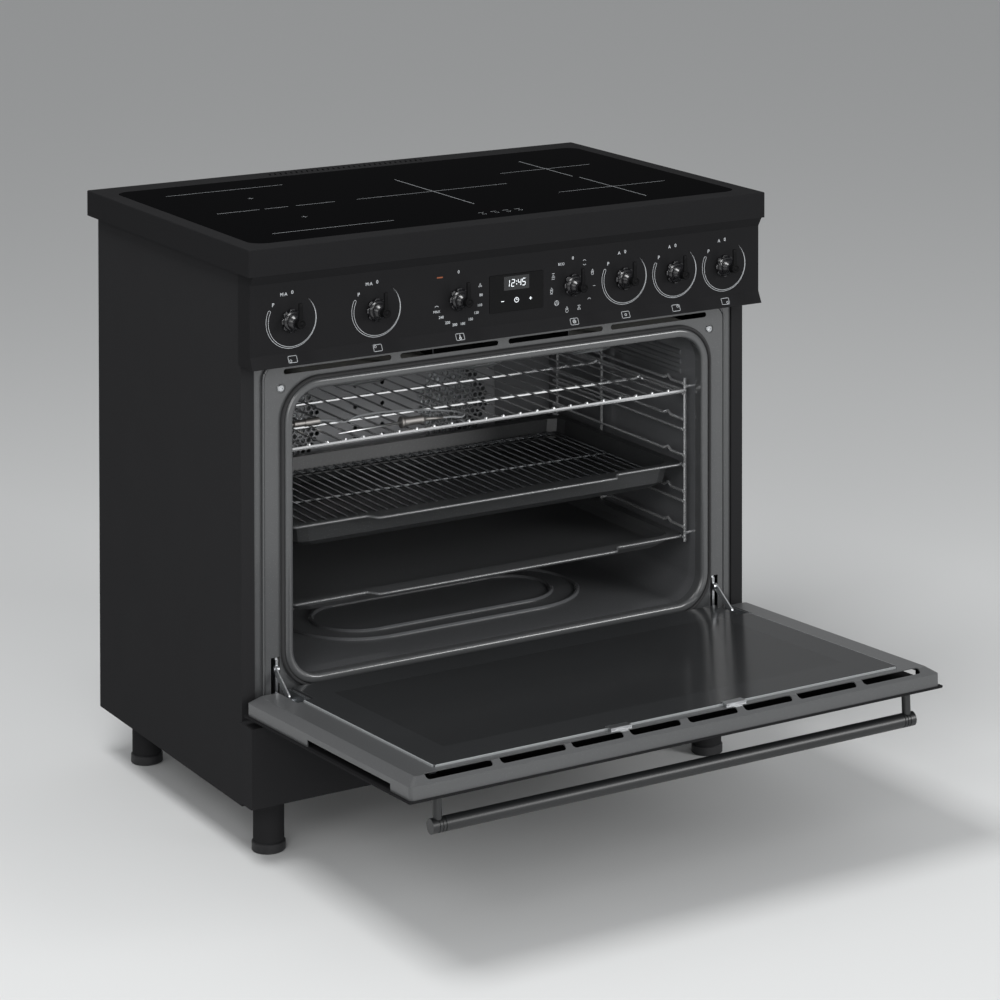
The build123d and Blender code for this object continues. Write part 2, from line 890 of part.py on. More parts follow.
def top_rack():
    """The chrome shelf: a bent frame, three cross bars under it and wires hooked over its front."""
    z = shelf_level(1) + shelf_rail
    half = shelf_half
    y0 = shelf_front_y
    y1 = shelf_back_y
    rack = [wire([(-half, y1, z), (-half, y0, z), (half, y0, z), (half, y1, z)], shelf_rail)]
    bar_z = shelf_wire_z - shelf_wire - shelf_bar + 0.4
    for share in (0.33, 0.66, 0.985):
        y = y0 + share * shelf_depth
        run = [(-half, y, z), (-half + 8, y, bar_z), (half - 8, y, bar_z), (half, y, z)]
        rack.append(wire(run, shelf_bar))
    count = int(2 * half / shelf_pitch)
    hook = z + shelf_rail + shelf_wire - 0.7
    for i in range(1, count):
        x = -half + 2 * half * i / count
        run = [(x, y0 - 1, hook), (x, y0 + 1, hook), (x, y0 + 9, shelf_wire_z), (x, y1, shelf_wire_z)]
        rack.append(wire(run, shelf_wire, 6))
    return joined(rack)


def tray(level, depth, corner):
    """A pressed tray whose flat rim runs on the rods, with a grip lip at the front."""
    z = shelf_level(level)
    half = shelf_half + 2.5
    y0 = shelf_front_y
    y1 = shelf_back_y - 18
    mid_y = (y0 + y1) / 2
    rim = extrude(Plane((0, mid_y, z)) * RectangleRounded(2 * half, y1 - y0, 12), tray_sheet)
    lip = make_face(Polyline(
        (-tray_lip_half - 14, y0 + 4),
        (-tray_lip_half, y0 - tray_lip),
        (tray_lip_half, y0 - tray_lip),
        (tray_lip_half + 14, y0 + 4),
        close=True,
    ))
    rim += extrude(Plane((0, 0, z)) * lip, tray_sheet)
    inner_x = half - tray_rim
    inner_y = (y1 - y0) / 2 - tray_rim
    slope = 0.22 * depth
    steps = [(z + tray_sheet, 0), (z - depth + tray_bend, slope - 2), (z - depth, slope + tray_bend)]
    bowl = [
        Plane((0, mid_y, height)) * tray_outline(inner_x - inset, inner_y - inset, corner)
        for height, inset in steps
    ]
    room = [
        Plane((0, mid_y, height)) * tray_outline(inner_x - inset, inner_y - inset, corner)
        for height, inset in [
            (z + tray_sheet, tray_sheet),
            (z - depth + tray_bend, slope - 2 + tray_sheet),
            (z - depth + tray_sheet, slope + tray_bend),
        ]
    ]
    return rim + loft(bowl, ruled=True) - loft(room, ruled=True)


def tray_outline(half_x, half_y, corner):
    """A rectangle whose corners turn in three steps."""
    turn = [(0, 1.0), (0.29, 0.29), (1.0, 0)]
    points = []
    for sx, sy in ((1, 1), (-1, 1), (-1, -1), (1, -1)):
        steps = turn if sx * sy > 0 else turn[::-1]
        points += [(sx * (half_x - corner * a), sy * (half_y - corner * b)) for a, b in steps]
    return make_face(Polyline(*points, close=True))


def tray_grid():
    """The wire grid that lies in the deep tray on four bent feet."""
    z = shelf_level(3) - grid_drop
    half = shelf_half - tray_rim - 12
    y0 = shelf_front_y + tray_rim + 14
    y1 = shelf_back_y - 18 - tray_rim - 14
    grid = [wire([(-half, y0, z), (half, y0, z)], grid_wire + 0.6)]
    for share in (0.5, 0.975, 1.0):
        y = y0 + share * (y1 - y0)
        grid.append(wire([(-half, y, z), (half, y, z)], grid_wire + 0.6))
    for x in (-half, half):
        grid.append(wire([(x, y0, z), (x, y1, z)], grid_wire + 0.6))
    count = int(2 * half / grid_pitch)
    wire_z = z + 2 * grid_wire - 0.4
    for i in range(1, count):
        x = -half + 2 * half * i / count
        grid.append(wire([(x, y0 - 1, wire_z), (x, y1 + 1, wire_z)], grid_wire, 6))
    floor_z = shelf_level(3) - deep_tray_depth + tray_sheet
    for x in (-half, half):
        side = 1 if x > 0 else -1
        for y in (y0 + 40, y1 - 40):
            foot_x = x - side * 14
            grid.append(wire([(x, y, z), (foot_x, y, z - 3), (foot_x, y, floor_z)], grid_wire))
    return joined(grid)


# Food probe, laid on the top rack
probe_z = shelf_top_z + probe_flange_radius
probe_y = shelf_front_y + 26
probe_tip_x = probe_set - shelf_half
flange_x = probe_tip_x + probe_needle_length
grip_end_x = flange_x + probe_handle_length
handle_end_x = grip_end_x + probe_relief_length
plug_end_x = plug_set - shelf_half
plug_y = probe_y + 88
plug_axis_z = shelf_top_z + probe_plug_radius + running
lead_z = shelf_top_z + probe_lead_radius + running


def food_probe():
    """A steel needle crimped into a grip with a flange and a strain relief."""
    grip = round_x(probe_flange_radius, flange_x, flange_x + 4, probe_y, probe_z)
    grip += round_x(probe_handle_radius, flange_x + 3, grip_end_x, probe_y, probe_z)
    relief = loft([
        Plane((grip_end_x - 1, probe_y, probe_z), x_dir=(0, 1, 0), z_dir=(1, 0, 0)) * Circle(probe_handle_radius - 1),
        Plane((handle_end_x, probe_y, probe_z), x_dir=(0, 1, 0), z_dir=(1, 0, 0)) * Circle(probe_lead_radius + 0.6),
    ])
    grip += relief
    needle = round_x(probe_needle_radius, probe_tip_x + 8, flange_x + 2, probe_y, probe_z)
    tip = loft([
        Plane((probe_tip_x, probe_y, probe_z), x_dir=(0, 1, 0), z_dir=(1, 0, 0)) * Circle(0.3),
        Plane((probe_tip_x + 8, probe_y, probe_z), x_dir=(0, 1, 0), z_dir=(1, 0, 0)) * Circle(probe_needle_radius),
    ])
    return grip + needle + tip


def probe_plug():
    """The probe's jack: a stepped grip with its contact pin."""
    start = plug_end_x - probe_plug_length
    z = plug_axis_z
    plug = round_x(2.0, start, start + 22, plug_y, z)
    plug += round_x(probe_plug_radius - 1, start + 20, start + 40, plug_y, z)
    return plug + round_x(probe_plug_radius, start + 38, plug_end_x, plug_y, z)


# The lead's bends, counted from the plug's end, and their height over the bare rack
lead_points = [
    (plug_end_x, plug_y, plug_axis_z),
    (plug_end_x + 15, plug_y, plug_axis_z),
    (plug_end_x + 36, plug_y - 18, lead_z),
    (plug_end_x + 56, plug_y + 4, lead_z),
    (plug_end_x + 88, plug_y + 16, lead_z),
    (plug_end_x + 126, plug_y + 12, lead_z),
    (plug_end_x + 162, plug_y, lead_z),
    (plug_end_x + 192, plug_y - 20, lead_z),
    (plug_end_x + 214, plug_y - 42, lead_z),
    (plug_end_x + 219, plug_y - 66, lead_z),
    (plug_end_x + 203, probe_y + 4, lead_z),
    (handle_end_x + 15, probe_y, probe_z),
    (handle_end_x, probe_y, probe_z),
]


def lead_radii(points):
    """Each bend takes 0.45 of its shorter run over the tangent of half the turn."""
    radii = []
    for before, here, after in zip(points, points[1:], points[2:]):
        run_in = Vector(*here) - Vector(*before)
        run_out = Vector(*after) - Vector(*here)
        turn = math.radians(run_in.get_angle(run_out))
        radii.append(0.45 * min(run_in.length, run_out.length) / math.tan(turn / 2))
    return radii


def probe_lead():
    """The probe's braided lead, lying loose on the rack."""
    radii = lead_radii(lead_points)
    print("lead radii", [round(r, 1) for r in radii])
    path = FilletPolyline(*lead_points, radius=radii)
    run = Vector(*lead_points[1]) - Vector(*lead_points[0])
    plane = Plane(lead_points[0], x_dir=(0, 1, 0), z_dir=run)
    section = plane * RegularPolygon(probe_lead_radius, lead_sides)
    tube = sweep(section, path=path)
    print("lead length", round(path.length, 1), "volume ratio", round(tube.volume / (section.area * path.length), 4))
    return tube


# Cooling
def blower_housing():
    """The scroll of the cross-flow blower over the oven, with a mouth to the front vents."""
    x0 = -blower_half
    x1 = blower_half
    z0 = blower_floor
    shell = block(x0, x1, band_back, blower_back, z0, z0 + 74)
    shell = fillet(shell.edges().filter_by(Axis.X).sort_by(Axis.Y)[-2:], 20)
    inside = block(x0 + sheet, x1 - sheet, band_back - 1, blower_back - sheet, z0 + sheet, z0 + 72)
    inside = fillet(inside.edges().filter_by(Axis.X).sort_by(Axis.Y)[-2:], 18)
    intake = block(x0 + 20, x1 - 20, blower_back - 60, blower_back - 20, z0 + 70, z0 + 80)
    axle = round_x(blower_axle + running, x0 - 1, x1 + 1, blower_y, blower_z)
    return shell - inside - intake - axle


blower_half = 120.0
blower_axle = 3.0
blower_radius = 26.0
blower_floor = cavity_top + cavity_wall + insulation_thick
blower_back = frame_back + 120
blower_y = blower_back - 42
blower_z = blower_floor + 38


def blower_wheel():
    """A drum of curved vanes between two end discs."""
    x0 = -blower_half + sheet + 1
    x1 = blower_half - sheet - 1
    wheel = round_x(blower_axle, x0 - sheet - 1, x1 + sheet + 1, blower_y, blower_z)
    for x in (x0, x1 - 2):
        wheel += round_x(blower_radius, x, x + 2, blower_y, blower_z)
    for i in range(12):
        vane = block(x0 + 1, x1 - 1, blower_radius - 9, blower_radius - 0.5, -0.7, 0.7)
        wheel += Pos(0, blower_y, blower_z) * (Rot(30 * i, 0, 0) * vane)
    return wheel


# Door, drawn closed and then let down about its hinge
hinge_axis = Axis((0, hinge_y, hinge_z), (1, 0, 0))


def let_down(shape):
    return shape.rotate(hinge_axis, door_open_angle)


def door_skin():
    """The outer panel with its window."""
    skin = pill(door_half, door_bottom, door_top, 3, skin_y, skin_in)
    skin = chamfer(skin.faces().sort_by(Axis.Y)[0].edges(), 0.8)
    window = pill(window_half, window_bottom, window_top, 12, skin_y - 1, skin_in + 1)
    return skin - window


def door_pan():
    """The enamelled inner frame: a pan with bevelled edges, vents and hinge mouths."""
    half = door_half - pan_inset
    low = door_bottom + 3
    high = door_top - 3
    wall_top = skin_in + pan_wall
    pan = pill(half, low, high, 7, skin_in, wall_top)
    lower = Plane((0, wall_top, (low + high) / 2), x_dir=(1, 0, 0), z_dir=(0, 1, 0))
    upper = Plane((0, land_y, (low + high) / 2), x_dir=(1, 0, 0), z_dir=(0, 1, 0))
    run = pan_bevel_run
    pan += loft([
        lower * RectangleRounded(2 * half, high - low, 7),
        upper * RectangleRounded(2 * (half - run), high - low - 2 * run, 5),
    ])
    room = pill(half - sheet, low + sheet, high - sheet, 5.5, skin_in - 1, wall_top - 1)
    room_low = Plane((0, wall_top - 1, (low + high) / 2), x_dir=(1, 0, 0), z_dir=(0, 1, 0))
    room_high = Plane((0, land_y - sheet, (low + high) / 2), x_dir=(1, 0, 0), z_dir=(0, 1, 0))
    room += loft([
        room_low * RectangleRounded(2 * (half - sheet), high - low - 2 * sheet, 5.5),
        room_high * RectangleRounded(2 * (half - run - 1), high - low - 2 * run - 2, 4),
    ])
    pan -= room
    pan -= pill(
        door_glass_half - 24,
        door_glass_bottom + 14,
        door_glass_top - 14,
        8,
        wall_top,
        land_y + 1,
    )
    for middle, length in door_vents:
        for side in (-1, 1):
            pan -= pill(
                length / 2,
                door_vent_low,
                door_vent_low + door_vent_height,
                5,
                wall_top - 1,
                land_y + 1,
                side * middle,
            )
    for side in (-1, 1):
        x0 = side * (half + 2)
        x1 = side * (half - 5)
        pan -= block(min(x0, x1), max(x0, x1), skin_in - 1, skin_in + 10, side_vent_low, side_vent_high)
        mouth = block(
            side * hinge_x - mouth_half - channel_wall - clear,
            side * hinge_x + mouth_half + channel_wall + clear,
            skin_in - 1,
            land_y + 1,
            low - 1,
            mouth_top,
        )
        pan -= mouth
    return pan


door_vents = [(48, 82), (142, 82), (door_half - 199, 102), (door_half - 84, 102)]
door_vent_low = door_glass_top + 12
door_vent_height = 14.0
side_vent_high = door_glass_top - 26
side_vent_low = side_vent_high - 250
mouth_half = 10.0
channel_wall = 2.0
mouth_top = 296.0


def door_inner_glass():
    glass = pill(door_glass_half, door_glass_bottom, door_glass_top, 6, land_y, glass_face)
    for side in (-1, 1):
        x0 = side * (hinge_x - mouth_half - channel_wall - 2 * clear)
        x1 = side * (door_glass_half + 5)
        glass -= block(x0, x1, land_y - 1, glass_face + 1, door_glass_bottom - 1, mouth_top + 2)
    return chamfer(glass.faces().sort_by(Axis.Y)[-1].edges(), 0.8)


def glass_clip(side):
    """A bent clip that holds the top edge of the inner glass."""
    x = side * clip_x
    clip = block(x - 17, x + 17, glass_face, glass_face + 1.2, door_glass_top - 6, door_glass_top + 9)
    return clip + block(x - 17, x + 17, land_y, glass_face + 1.2, door_glass_top + clear, door_glass_top + 9)


clip_x = 96.0


def door_outer_glass():
    return block(
        -window_half - 14,
        window_half + 14,
        skin_in,
        skin_in + 4,
        window_bottom - 14,
        window_top + 14,
    )


middle_glass_y = -276.0


def glass_rail(side):
    """A spacer rail that holds the middle glass between the skin and the pan."""
    x0 = side * (window_half + 15)
    x1 = side * (window_half + 27)
    rail = block(min(x0, x1), max(x0, x1), skin_in, land_y - sheet, window_bottom - 10, window_top + 10)
    groove_x = side * (window_half + 21)
    groove = block(
        min(x0 - side, groove_x),
        max(x0 - side, groove_x),
        middle_glass_y - clear,
        middle_glass_y + door_glass_thick + clear,
        window_bottom - 5,
        window_top + 5,
    )
    return rail - groove


def door_middle_glass():
    half = window_half + 21 - clear
    return block(
        -half,
        half,
        middle_glass_y,
        middle_glass_y + door_glass_thick,
        window_bottom - 5 + clear,
        window_top + 5 - clear,
    )


handle_y = skin_y - handle_stand
handle_z = door_top - handle_drop


def handle_bar():
    """A round bar whose turned ends carry three grooves."""
    bar = round_x(handle_radius, -handle_half, handle_half, handle_y, handle_z)
    for side in (-1, 1):
        collar = handle_half - 20
        for i in range(3):
            x = side * (collar + 5 * i)
            ring = round_x(handle_radius + 1, x - 0.9, x + 0.9, handle_y, handle_z)
            ring -= round_x(handle_radius - 0.9, x - 2, x + 2, handle_y, handle_z)
            bar -= ring
    return bar


def handle_post(side):
    """A post from the door skin to the bar, hollowed to the bar's round."""
    post = round_y(post_radius, handle_y, skin_y, side * post_half, handle_z)
    post += round_y(post_radius + 3, skin_y - 4, skin_y, side * post_half, handle_z)
    return post - round_x(handle_radius, -handle_half - 5, handle_half + 5, handle_y, handle_z)


def hinge_channel(side):
    """The hinge's steel channel inside the door, with the bush of the hinge pin."""
    x = side * hinge_x
    x0 = x - mouth_half
    x1 = x + mouth_half
    low = door_bottom + 5
    wall = channel_wall
    body = block(x0 - wall, x1 + wall, skin_in, land_y - sheet, low, channel_top)
    body -= block(x0, x1, skin_in + wall, land_y, low - 1, channel_top - wall)
    bush = round_x(pin_radius + 3, x - side * mouth_half, x - side * (mouth_half - 5), hinge_y, hinge_z)
    body += bush
    return body - round_x(pin_radius + running, x - 20, x + 20, hinge_y, hinge_z)


channel_top = 420.0
pin_radius = 3.0


def hinge_bracket(side):
    """The fixed half of a hinge: a claw in the oven front with the hinge pin and the link pin."""
    x = side * hinge_x
    x0 = x - 2
    x1 = x + 2
    claw = block(x0, x1, cabinet_front - 1, frame_back + 28, hinge_z - 10, link_z + 14)
    claw += block(x0, x1, frame_back, frame_back + 28, link_z + 14, link_z + 40)
    claw += block(x - side * 6, x + side * 14, frame_back, frame_back + 3, link_z + 19, link_z + 40)
    claw += block(x0, x1, hinge_y, cabinet_front, hinge_z - 5.5, hinge_z + 5.5)
    claw += round_x(5.5, x0, x1, hinge_y, hinge_z)
    claw += block(x0, x1, link_y, cabinet_front + 1, link_z - 5, link_z + 5)
    claw += round_x(5, x0, x1, link_y, link_z)
    claw += round_x(pin_radius, x - side * (mouth_half + channel_wall), x, hinge_y, hinge_z)
    claw += round_x(link_pin, x, x + side * (2 + clear + link_thick + 1), link_y, link_z)
    return claw


def hinge_link(side):
    """The link arm that checks the open door, pinned in the cabinet, free in the door."""
    angle = math.radians(link_angle)
    x0 = side * (hinge_x + 2 + clear)
    x1 = x0 + side * link_thick
    low = min(x0, x1)
    plane = Plane((low, link_y, link_z), x_dir=(0, -math.sin(angle), -math.cos(angle)), z_dir=(1, 0, 0))
    outline = plane * (Pos(link_length / 2, 0) * SlotCenterToCenter(link_length, link_width))
    arm = extrude(outline, link_thick)
    arm -= round_x(link_pin + running, low - 5, low + 10, link_y, link_z)
    for share in (0.45, 0.7):
        notch = plane * (Pos(link_length * share, link_width / 2) * Circle(2.2))
        arm -= extrude(notch, link_thick)
    return arm


save("hob_frame", hob_frame())
save("ceramic_glass", ceramic_glass())
save("coil_tray", coil_tray())
save("induction_coils", induction_coils())
save("power_boards", power_boards())
save("left_side_panel", side_panel(-1))
save("right_side_panel", side_panel(1))
save("back_panel", back_panel())
save("terminal_box", terminal_box())
save("base_frame", base_frame())
for end, y in (("front", cabinet_front + foot_front_set), ("back", cabinet_back - foot_back_set)):
    for hand, x in (("left", -foot_reach_x), ("right", foot_reach_x)):
        save("foot_" + end + "_" + hand, foot(x, y))
save("kick_panel", kick_panel())
save("control_panel", control_panel())
save("clock_display", clock_display())
save("knob_switches", [knob_switch(x) for name, x in knob_places])
for name, x in knob_places:
    save(name, knob(x))
save("front_frame", front_frame())
save("door_seal", door_seal())
save("oven_cavity", oven_cavity())
save("insulation", insulation())
save("fan_cover", fan_cover())
save("convection_fan_left", convection_fan(-1))
save("convection_fan_right", convection_fan(1))
save("fan_motors", side_pair(fan_motor))
save("ring_elements", side_pair(ring_element))
save("grill_element", grill_element())
save("frame_screws", side_pair(frame_screw))
save("side_rack_left", side_rack(-1))
save("side_rack_right", side_rack(1))
save("top_rack", top_rack())
save("deep_tray", tray(3, deep_tray_depth, 22))
save("tray_grid", tray_grid())
save("lower_tray", tray(5, low_tray_depth, 22))
save("food_probe", food_probe())
save("probe_plug", probe_plug())
save("probe_lead", probe_lead())
save("blower_housing", blower_housing())
save("blower_wheel", blower_wheel())
save("door_skin", let_down(door_skin()))
save("door_pan", let_down(door_pan()))
save("door_inner_glass", let_down(door_inner_glass()))
save("door_middle_glass", let_down(door_middle_glass()))
save("door_outer_glass", let_down(door_outer_glass()))
save("glass_clips", [let_down(s) for s in side_pair(glass_clip)])
save("glass_rails", [let_down(s) for s in side_pair(glass_rail)])
save("handle_bar", let_down(handle_bar()))
save("handle_posts", [let_down(s) for s in side_pair(handle_post)])
save("hinge_channels", [let_down(s) for s in side_pair(hinge_channel)])
save("hinge_brackets", side_pair(hinge_bracket))
save("hinge_link_left", hinge_link(-1))
save("hinge_link_right", hinge_link(1))
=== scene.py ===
import math
import bpy
import numpy as np
from mathutils import Matrix, Vector


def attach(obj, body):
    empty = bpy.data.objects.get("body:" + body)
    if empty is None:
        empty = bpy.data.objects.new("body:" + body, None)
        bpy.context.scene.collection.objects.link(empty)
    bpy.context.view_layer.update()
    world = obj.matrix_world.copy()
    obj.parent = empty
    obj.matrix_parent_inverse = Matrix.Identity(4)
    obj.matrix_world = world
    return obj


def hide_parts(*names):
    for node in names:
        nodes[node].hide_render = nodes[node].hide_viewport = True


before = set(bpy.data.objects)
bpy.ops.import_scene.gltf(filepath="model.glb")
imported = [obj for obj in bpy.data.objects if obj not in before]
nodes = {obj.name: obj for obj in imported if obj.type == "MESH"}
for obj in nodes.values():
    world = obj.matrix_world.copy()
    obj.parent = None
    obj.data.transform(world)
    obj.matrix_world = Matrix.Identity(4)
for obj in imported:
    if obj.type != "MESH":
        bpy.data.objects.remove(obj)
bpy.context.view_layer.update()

# Camera
# The photograph's uprights run nearly parallel, so the camera looks almost level and its lens is set low, as
# in a view camera. The mount holds that set, so a camera taken off its mount looks straight ahead again.
camera = dict(
    place=(-2.467, -4.575, 1.805),
    azimuth=-32.71,
    elevation=1.375,
    lens=117.6,
    sensor=36.0,
    shiftX=-0.1743,
    shiftY=-0.7956,
)
az, el = math.radians(camera["azimuth"]), math.radians(camera["elevation"])
ahead = Vector((-math.sin(az) * math.cos(el), math.cos(az) * math.cos(el), -math.sin(el)))
cameraData = bpy.data.cameras.new("camera")
cameraData.sensor_width = camera["sensor"]
# one unit ahead, the picture's middle lies setX across and setY up; the line to it is longer by the stretch
setX, setY = (camera[key] * camera["sensor"] / camera["lens"] for key in ("shiftX", "shiftY"))
stretch = math.sqrt(1 + setX ** 2 + setY ** 2)
cameraData.lens = camera["lens"] * stretch
cameraData.clip_end = 100
cameraObject = bpy.data.objects.new("camera", cameraData)
cameraObject.location = camera["place"]
cameraObject.rotation_euler = ahead.to_track_quat("-Z", "Y").to_euler()
bpy.context.scene.collection.objects.link(cameraObject)
mount = bpy.data.objects.new("cameraMount", None)
bpy.context.scene.collection.objects.link(mount)
level = Matrix.LocRotScale(cameraObject.location, cameraObject.rotation_euler, None)
lean = Matrix(((1, 0, -setX / stretch, 0), (0, 1, -setY / stretch, 0), (0, 0, 1 / stretch, 0), (0, 0, 0, 1)))
cameraObject.parent = mount
cameraObject.matrix_parent_inverse = level @ lean @ level.inverted()
bpy.context.scene.camera = cameraObject
print("camera set")


# Materials
def linear(hexText):
    # sRGB hex to linear: below 0.04045 it is c / 12.92, above it ((c + 0.055) / 1.055) to the power 2.4
    rgb = [int(hexText[i:i + 2], 16) / 255 for i in (1, 3, 5)]
    return tuple(c / 12.92 if c <= 0.04045 else ((c + 0.055) / 1.055) ** 2.4 for c in rgb) + (1.0,)


def addNode(tree, kind, settings=None, links=None):
    # one node with its settings; a link is socket name -> (other node, its output name or number)
    node = tree.nodes.new(kind)
    for key, value in (settings or {}).items():
        if isinstance(key, int) or key in node.inputs:
            node.inputs[key].default_value = value
        else:
            setattr(node, key, value)
    for socket, (other, output) in (links or {}).items():
        tree.links.new(other.outputs[output], node.inputs[socket])
    return node


def newMaterial(name, colour, roughness, **sockets):
    material = bpy.data.materials.new(name)
    material.use_nodes = True
    tree = material.node_tree
    shader = tree.nodes["Principled BSDF"]
    shader.inputs["Base Color"].default_value = linear(colour)
    shader.inputs["Roughness"].default_value = roughness
    for key, value in sockets.items():
        shader.inputs[key.replace("_", " ")].default_value = value
    return material, tree, shader


def millimetres(size):
    # a pattern's scale on object coordinates in metres, from the real size of its grain
    return 1000.0 / size


def relief(tree, shader, size, strength, distance, detail=2.0):
    # the fine rise and fall of a finish: noise on object coordinates, its grain in millimetres
    place = addNode(tree, "ShaderNodeTexCoord")
    settings = {"Scale": millimetres(size), "Detail": detail}
    rise = addNode(tree, "ShaderNodeTexNoise", settings, {"Vector": (place, "Object")})
    depth = {"Strength": strength, "Distance": distance}
    bump = addNode(tree, "ShaderNodeBump", depth, {"Height": (rise, "Fac")})
    tree.links.new(bump.outputs[0], shader.inputs["Normal"])


def patches(tree, shader, size, low, high):
    # duller and brighter patches of the given millimetres, with roughness between two values
    place = addNode(tree, "ShaderNodeTexCoord")
    settings = {"Scale": millimetres(size), "Detail": 3.0}
    cloud = addNode(tree, "ShaderNodeTexNoise", settings, {"Vector": (place, "Object")})
    dull = addNode(tree, "ShaderNodeMapRange", {"To Min": low, "To Max": high}, {"Value": (cloud, "Fac")})
    tree.links.new(dull.outputs[0], shader.inputs["Roughness"])


# Polyester powder coat, sprayed and baked: a dull anthracite skin with a fine orange peel.
# The peel is about 0.5 mm across and is drawn at 1.6 mm, so that it shows.
def powderCoat(name, colour):
    material, tree, shader = newMaterial(name, colour, 0.5, IOR=1.05)
    relief(tree, shader, 1.6, 0.16, 0.0002)
    patches(tree, shader, 90, 0.46, 0.60)
    return material


# Glass ceramic, rolled and polished, dark brown black all through: a near mirror with no depth.
def glassCeramic():
    material, tree, shader = newMaterial("glassCeramic", "#060607", 0.05, IOR=1.007)
    relief(tree, shader, 140, 0.05, 0.0005, 1.0)
    return material


# Vitreous enamel, sprayed as slip and fired at 820 degrees: glossy, slightly wavy, with fine pale flecks.
# The flecks are about 0.3 mm and are drawn at 1.5 mm, so that they show.
def enamel(name, colour, fleck, roughness, share, gloss=0.35):
    material, tree, shader = newMaterial(name, colour, roughness, Coat_Weight=gloss, Coat_Roughness=0.12)
    place = addNode(tree, "ShaderNodeTexCoord")
    cells = addNode(tree, "ShaderNodeTexVoronoi", {"Scale": millimetres(3.2)}, {"Vector": (place, "Object")})
    reach = {"From Min": share, "From Max": share * 0.4}
    spots = addNode(tree, "ShaderNodeMapRange", reach, {"Value": (cells, "Distance")})
    tint = addNode(tree, "ShaderNodeMix", {"data_type": "RGBA"}, {"Factor": (spots, 0)})
    tint.inputs[6].default_value = linear(colour)
    tint.inputs[7].default_value = linear(fleck)
    tree.links.new(tint.outputs[2], shader.inputs["Base Color"])
    relief(tree, shader, 14, 0.10, 0.0006)
    return material


# Bright chromium plate on drawn wire: a clean mirror, with the faint draw lines dulling it a little.
def chromePlate(name, colour, metal):
    material, tree, shader = newMaterial(name, colour, 0.18, Metallic=metal)
    patches(tree, shader, 22, 0.14, 0.26)
    return material


# Rolled or drawn metal, bare or zinc coated: a long faint grain, or a patchwork of zinc crystals.
def rolledSteel(name, colour, roughness, grain):
    material, tree, shader = newMaterial(name, colour, roughness, Metallic=1.0)
    place = addNode(tree, "ShaderNodeTexCoord")
    along = addNode(tree, "ShaderNodeMapping", {"Scale": (1.0, grain, grain)}, {"Vector": (place, "Object")})
    settings = {"Scale": millimetres(30), "Detail": 4.0}
    lines = addNode(tree, "ShaderNodeTexNoise", settings, {"Vector": (along, 0)})
    spread = {"To Min": roughness - 0.08, "To Max": roughness + 0.1}
    dull = addNode(tree, "ShaderNodeMapRange", spread, {"Value": (lines, "Fac")})
    tree.links.new(dull.outputs[0], shader.inputs["Roughness"])
    return material


# Moulded thermoset or ABS, and lacquers and inks: an even colour with a fine grain or a polished face.
def moulded(name, colour, roughness, grainHeight, ior=1.5):
    material, tree, shader = newMaterial(name, colour, roughness, IOR=ior)
    relief(tree, shader, 1.2, grainHeight, 0.0002)
    return material


# Tempered float glass with a dark ceramic print fired round its edge. The door stands open at rest,
# so its window lies between two widths along X and two along Y.
def printedGlass(name, window, border, clear, edge=None):
    material, tree, shader = newMaterial(name, border, 0.16, IOR=1.18)
    place = addNode(tree, "ShaderNodeTexCoord")
    split = addNode(tree, "ShaderNodeSeparateXYZ", {}, {"Vector": (place, "Object")})
    across = addNode(tree, "ShaderNodeMath", {"operation": "ABSOLUTE"}, {0: (split, "X")})
    middle = {"operation": "SUBTRACT", 1: window["middle"]}
    fromMiddle = addNode(tree, "ShaderNodeMath", middle, {0: (split, "Y")})
    along = addNode(tree, "ShaderNodeMath", {"operation": "ABSOLUTE"}, {0: (fromMiddle, 0)})
    nearSide = addNode(tree, "ShaderNodeMath", {"operation": "LESS_THAN", 1: window["half"]}, {0: (across, 0)})
    inDepth = addNode(tree, "ShaderNodeMath", {"operation": "LESS_THAN", 1: window["reach"]}, {0: (along, 0)})
    inside = addNode(tree, "ShaderNodeMath", {"operation": "MULTIPLY"}, {0: (nearSide, 0), 1: (inDepth, 0)})
    tint = addNode(tree, "ShaderNodeMix", {"data_type": "RGBA"}, {"Factor": (inside, 0)})
    tint.inputs[6].default_value = linear(border)
    tint.inputs[7].default_value = linear(clear)
    tree.links.new(tint.outputs[2], shader.inputs["Base Color"])
    if edge:  # the ground edge, a pale line where the glass ends
        wide = {"operation": "GREATER_THAN", 1: edge["half"]}
        outside = addNode(tree, "ShaderNodeMath", wide, {0: (across, 0)})
        near = {"operation": "LESS_THAN", 1: edge["front"]}
        front = addNode(tree, "ShaderNodeMath", near, {0: (split, "Y")})
        rim = addNode(tree, "ShaderNodeMath", {"operation": "MAXIMUM"}, {0: (outside, 0), 1: (front, 0)})
        ground = addNode(tree, "ShaderNodeMix", {"data_type": "RGBA"}, {"Factor": (rim, 0), 6: (tint, 2)})
        ground.inputs[7].default_value = linear(edge["colour"])
        tree.links.new(ground.outputs[2], shader.inputs["Base Color"])
    share = {"operation": "MULTIPLY", 1: window["through"]}
    through = addNode(tree, "ShaderNodeMath", share, {0: (inside, 0)})
    tree.links.new(through.outputs[0], shader.inputs["Transmission Weight"])
    return material


# Woven or braided yarn: the rise and fall of threads of the given width in millimetres.
def fabricMaterial(name, colour, thread):
    material, tree, shader = newMaterial(name, colour, 0.85)
    place = addNode(tree, "ShaderNodeTexCoord")
    # at scale 1 a wave repeats every 0.314 units, so here one repeat is about two threads
    settings = {"Scale": millimetres(thread) / 6.28, "Distortion": 1.5}
    weave = addNode(tree, "ShaderNodeTexWave", settings, {"Vector": (place, "Object")})
    bump = addNode(tree, "ShaderNodeBump", {"Strength": 0.5, "Distance": 0.0004}, {"Height": (weave, "Fac")})
    tree.links.new(bump.outputs[0], shader.inputs["Normal"])
    return material


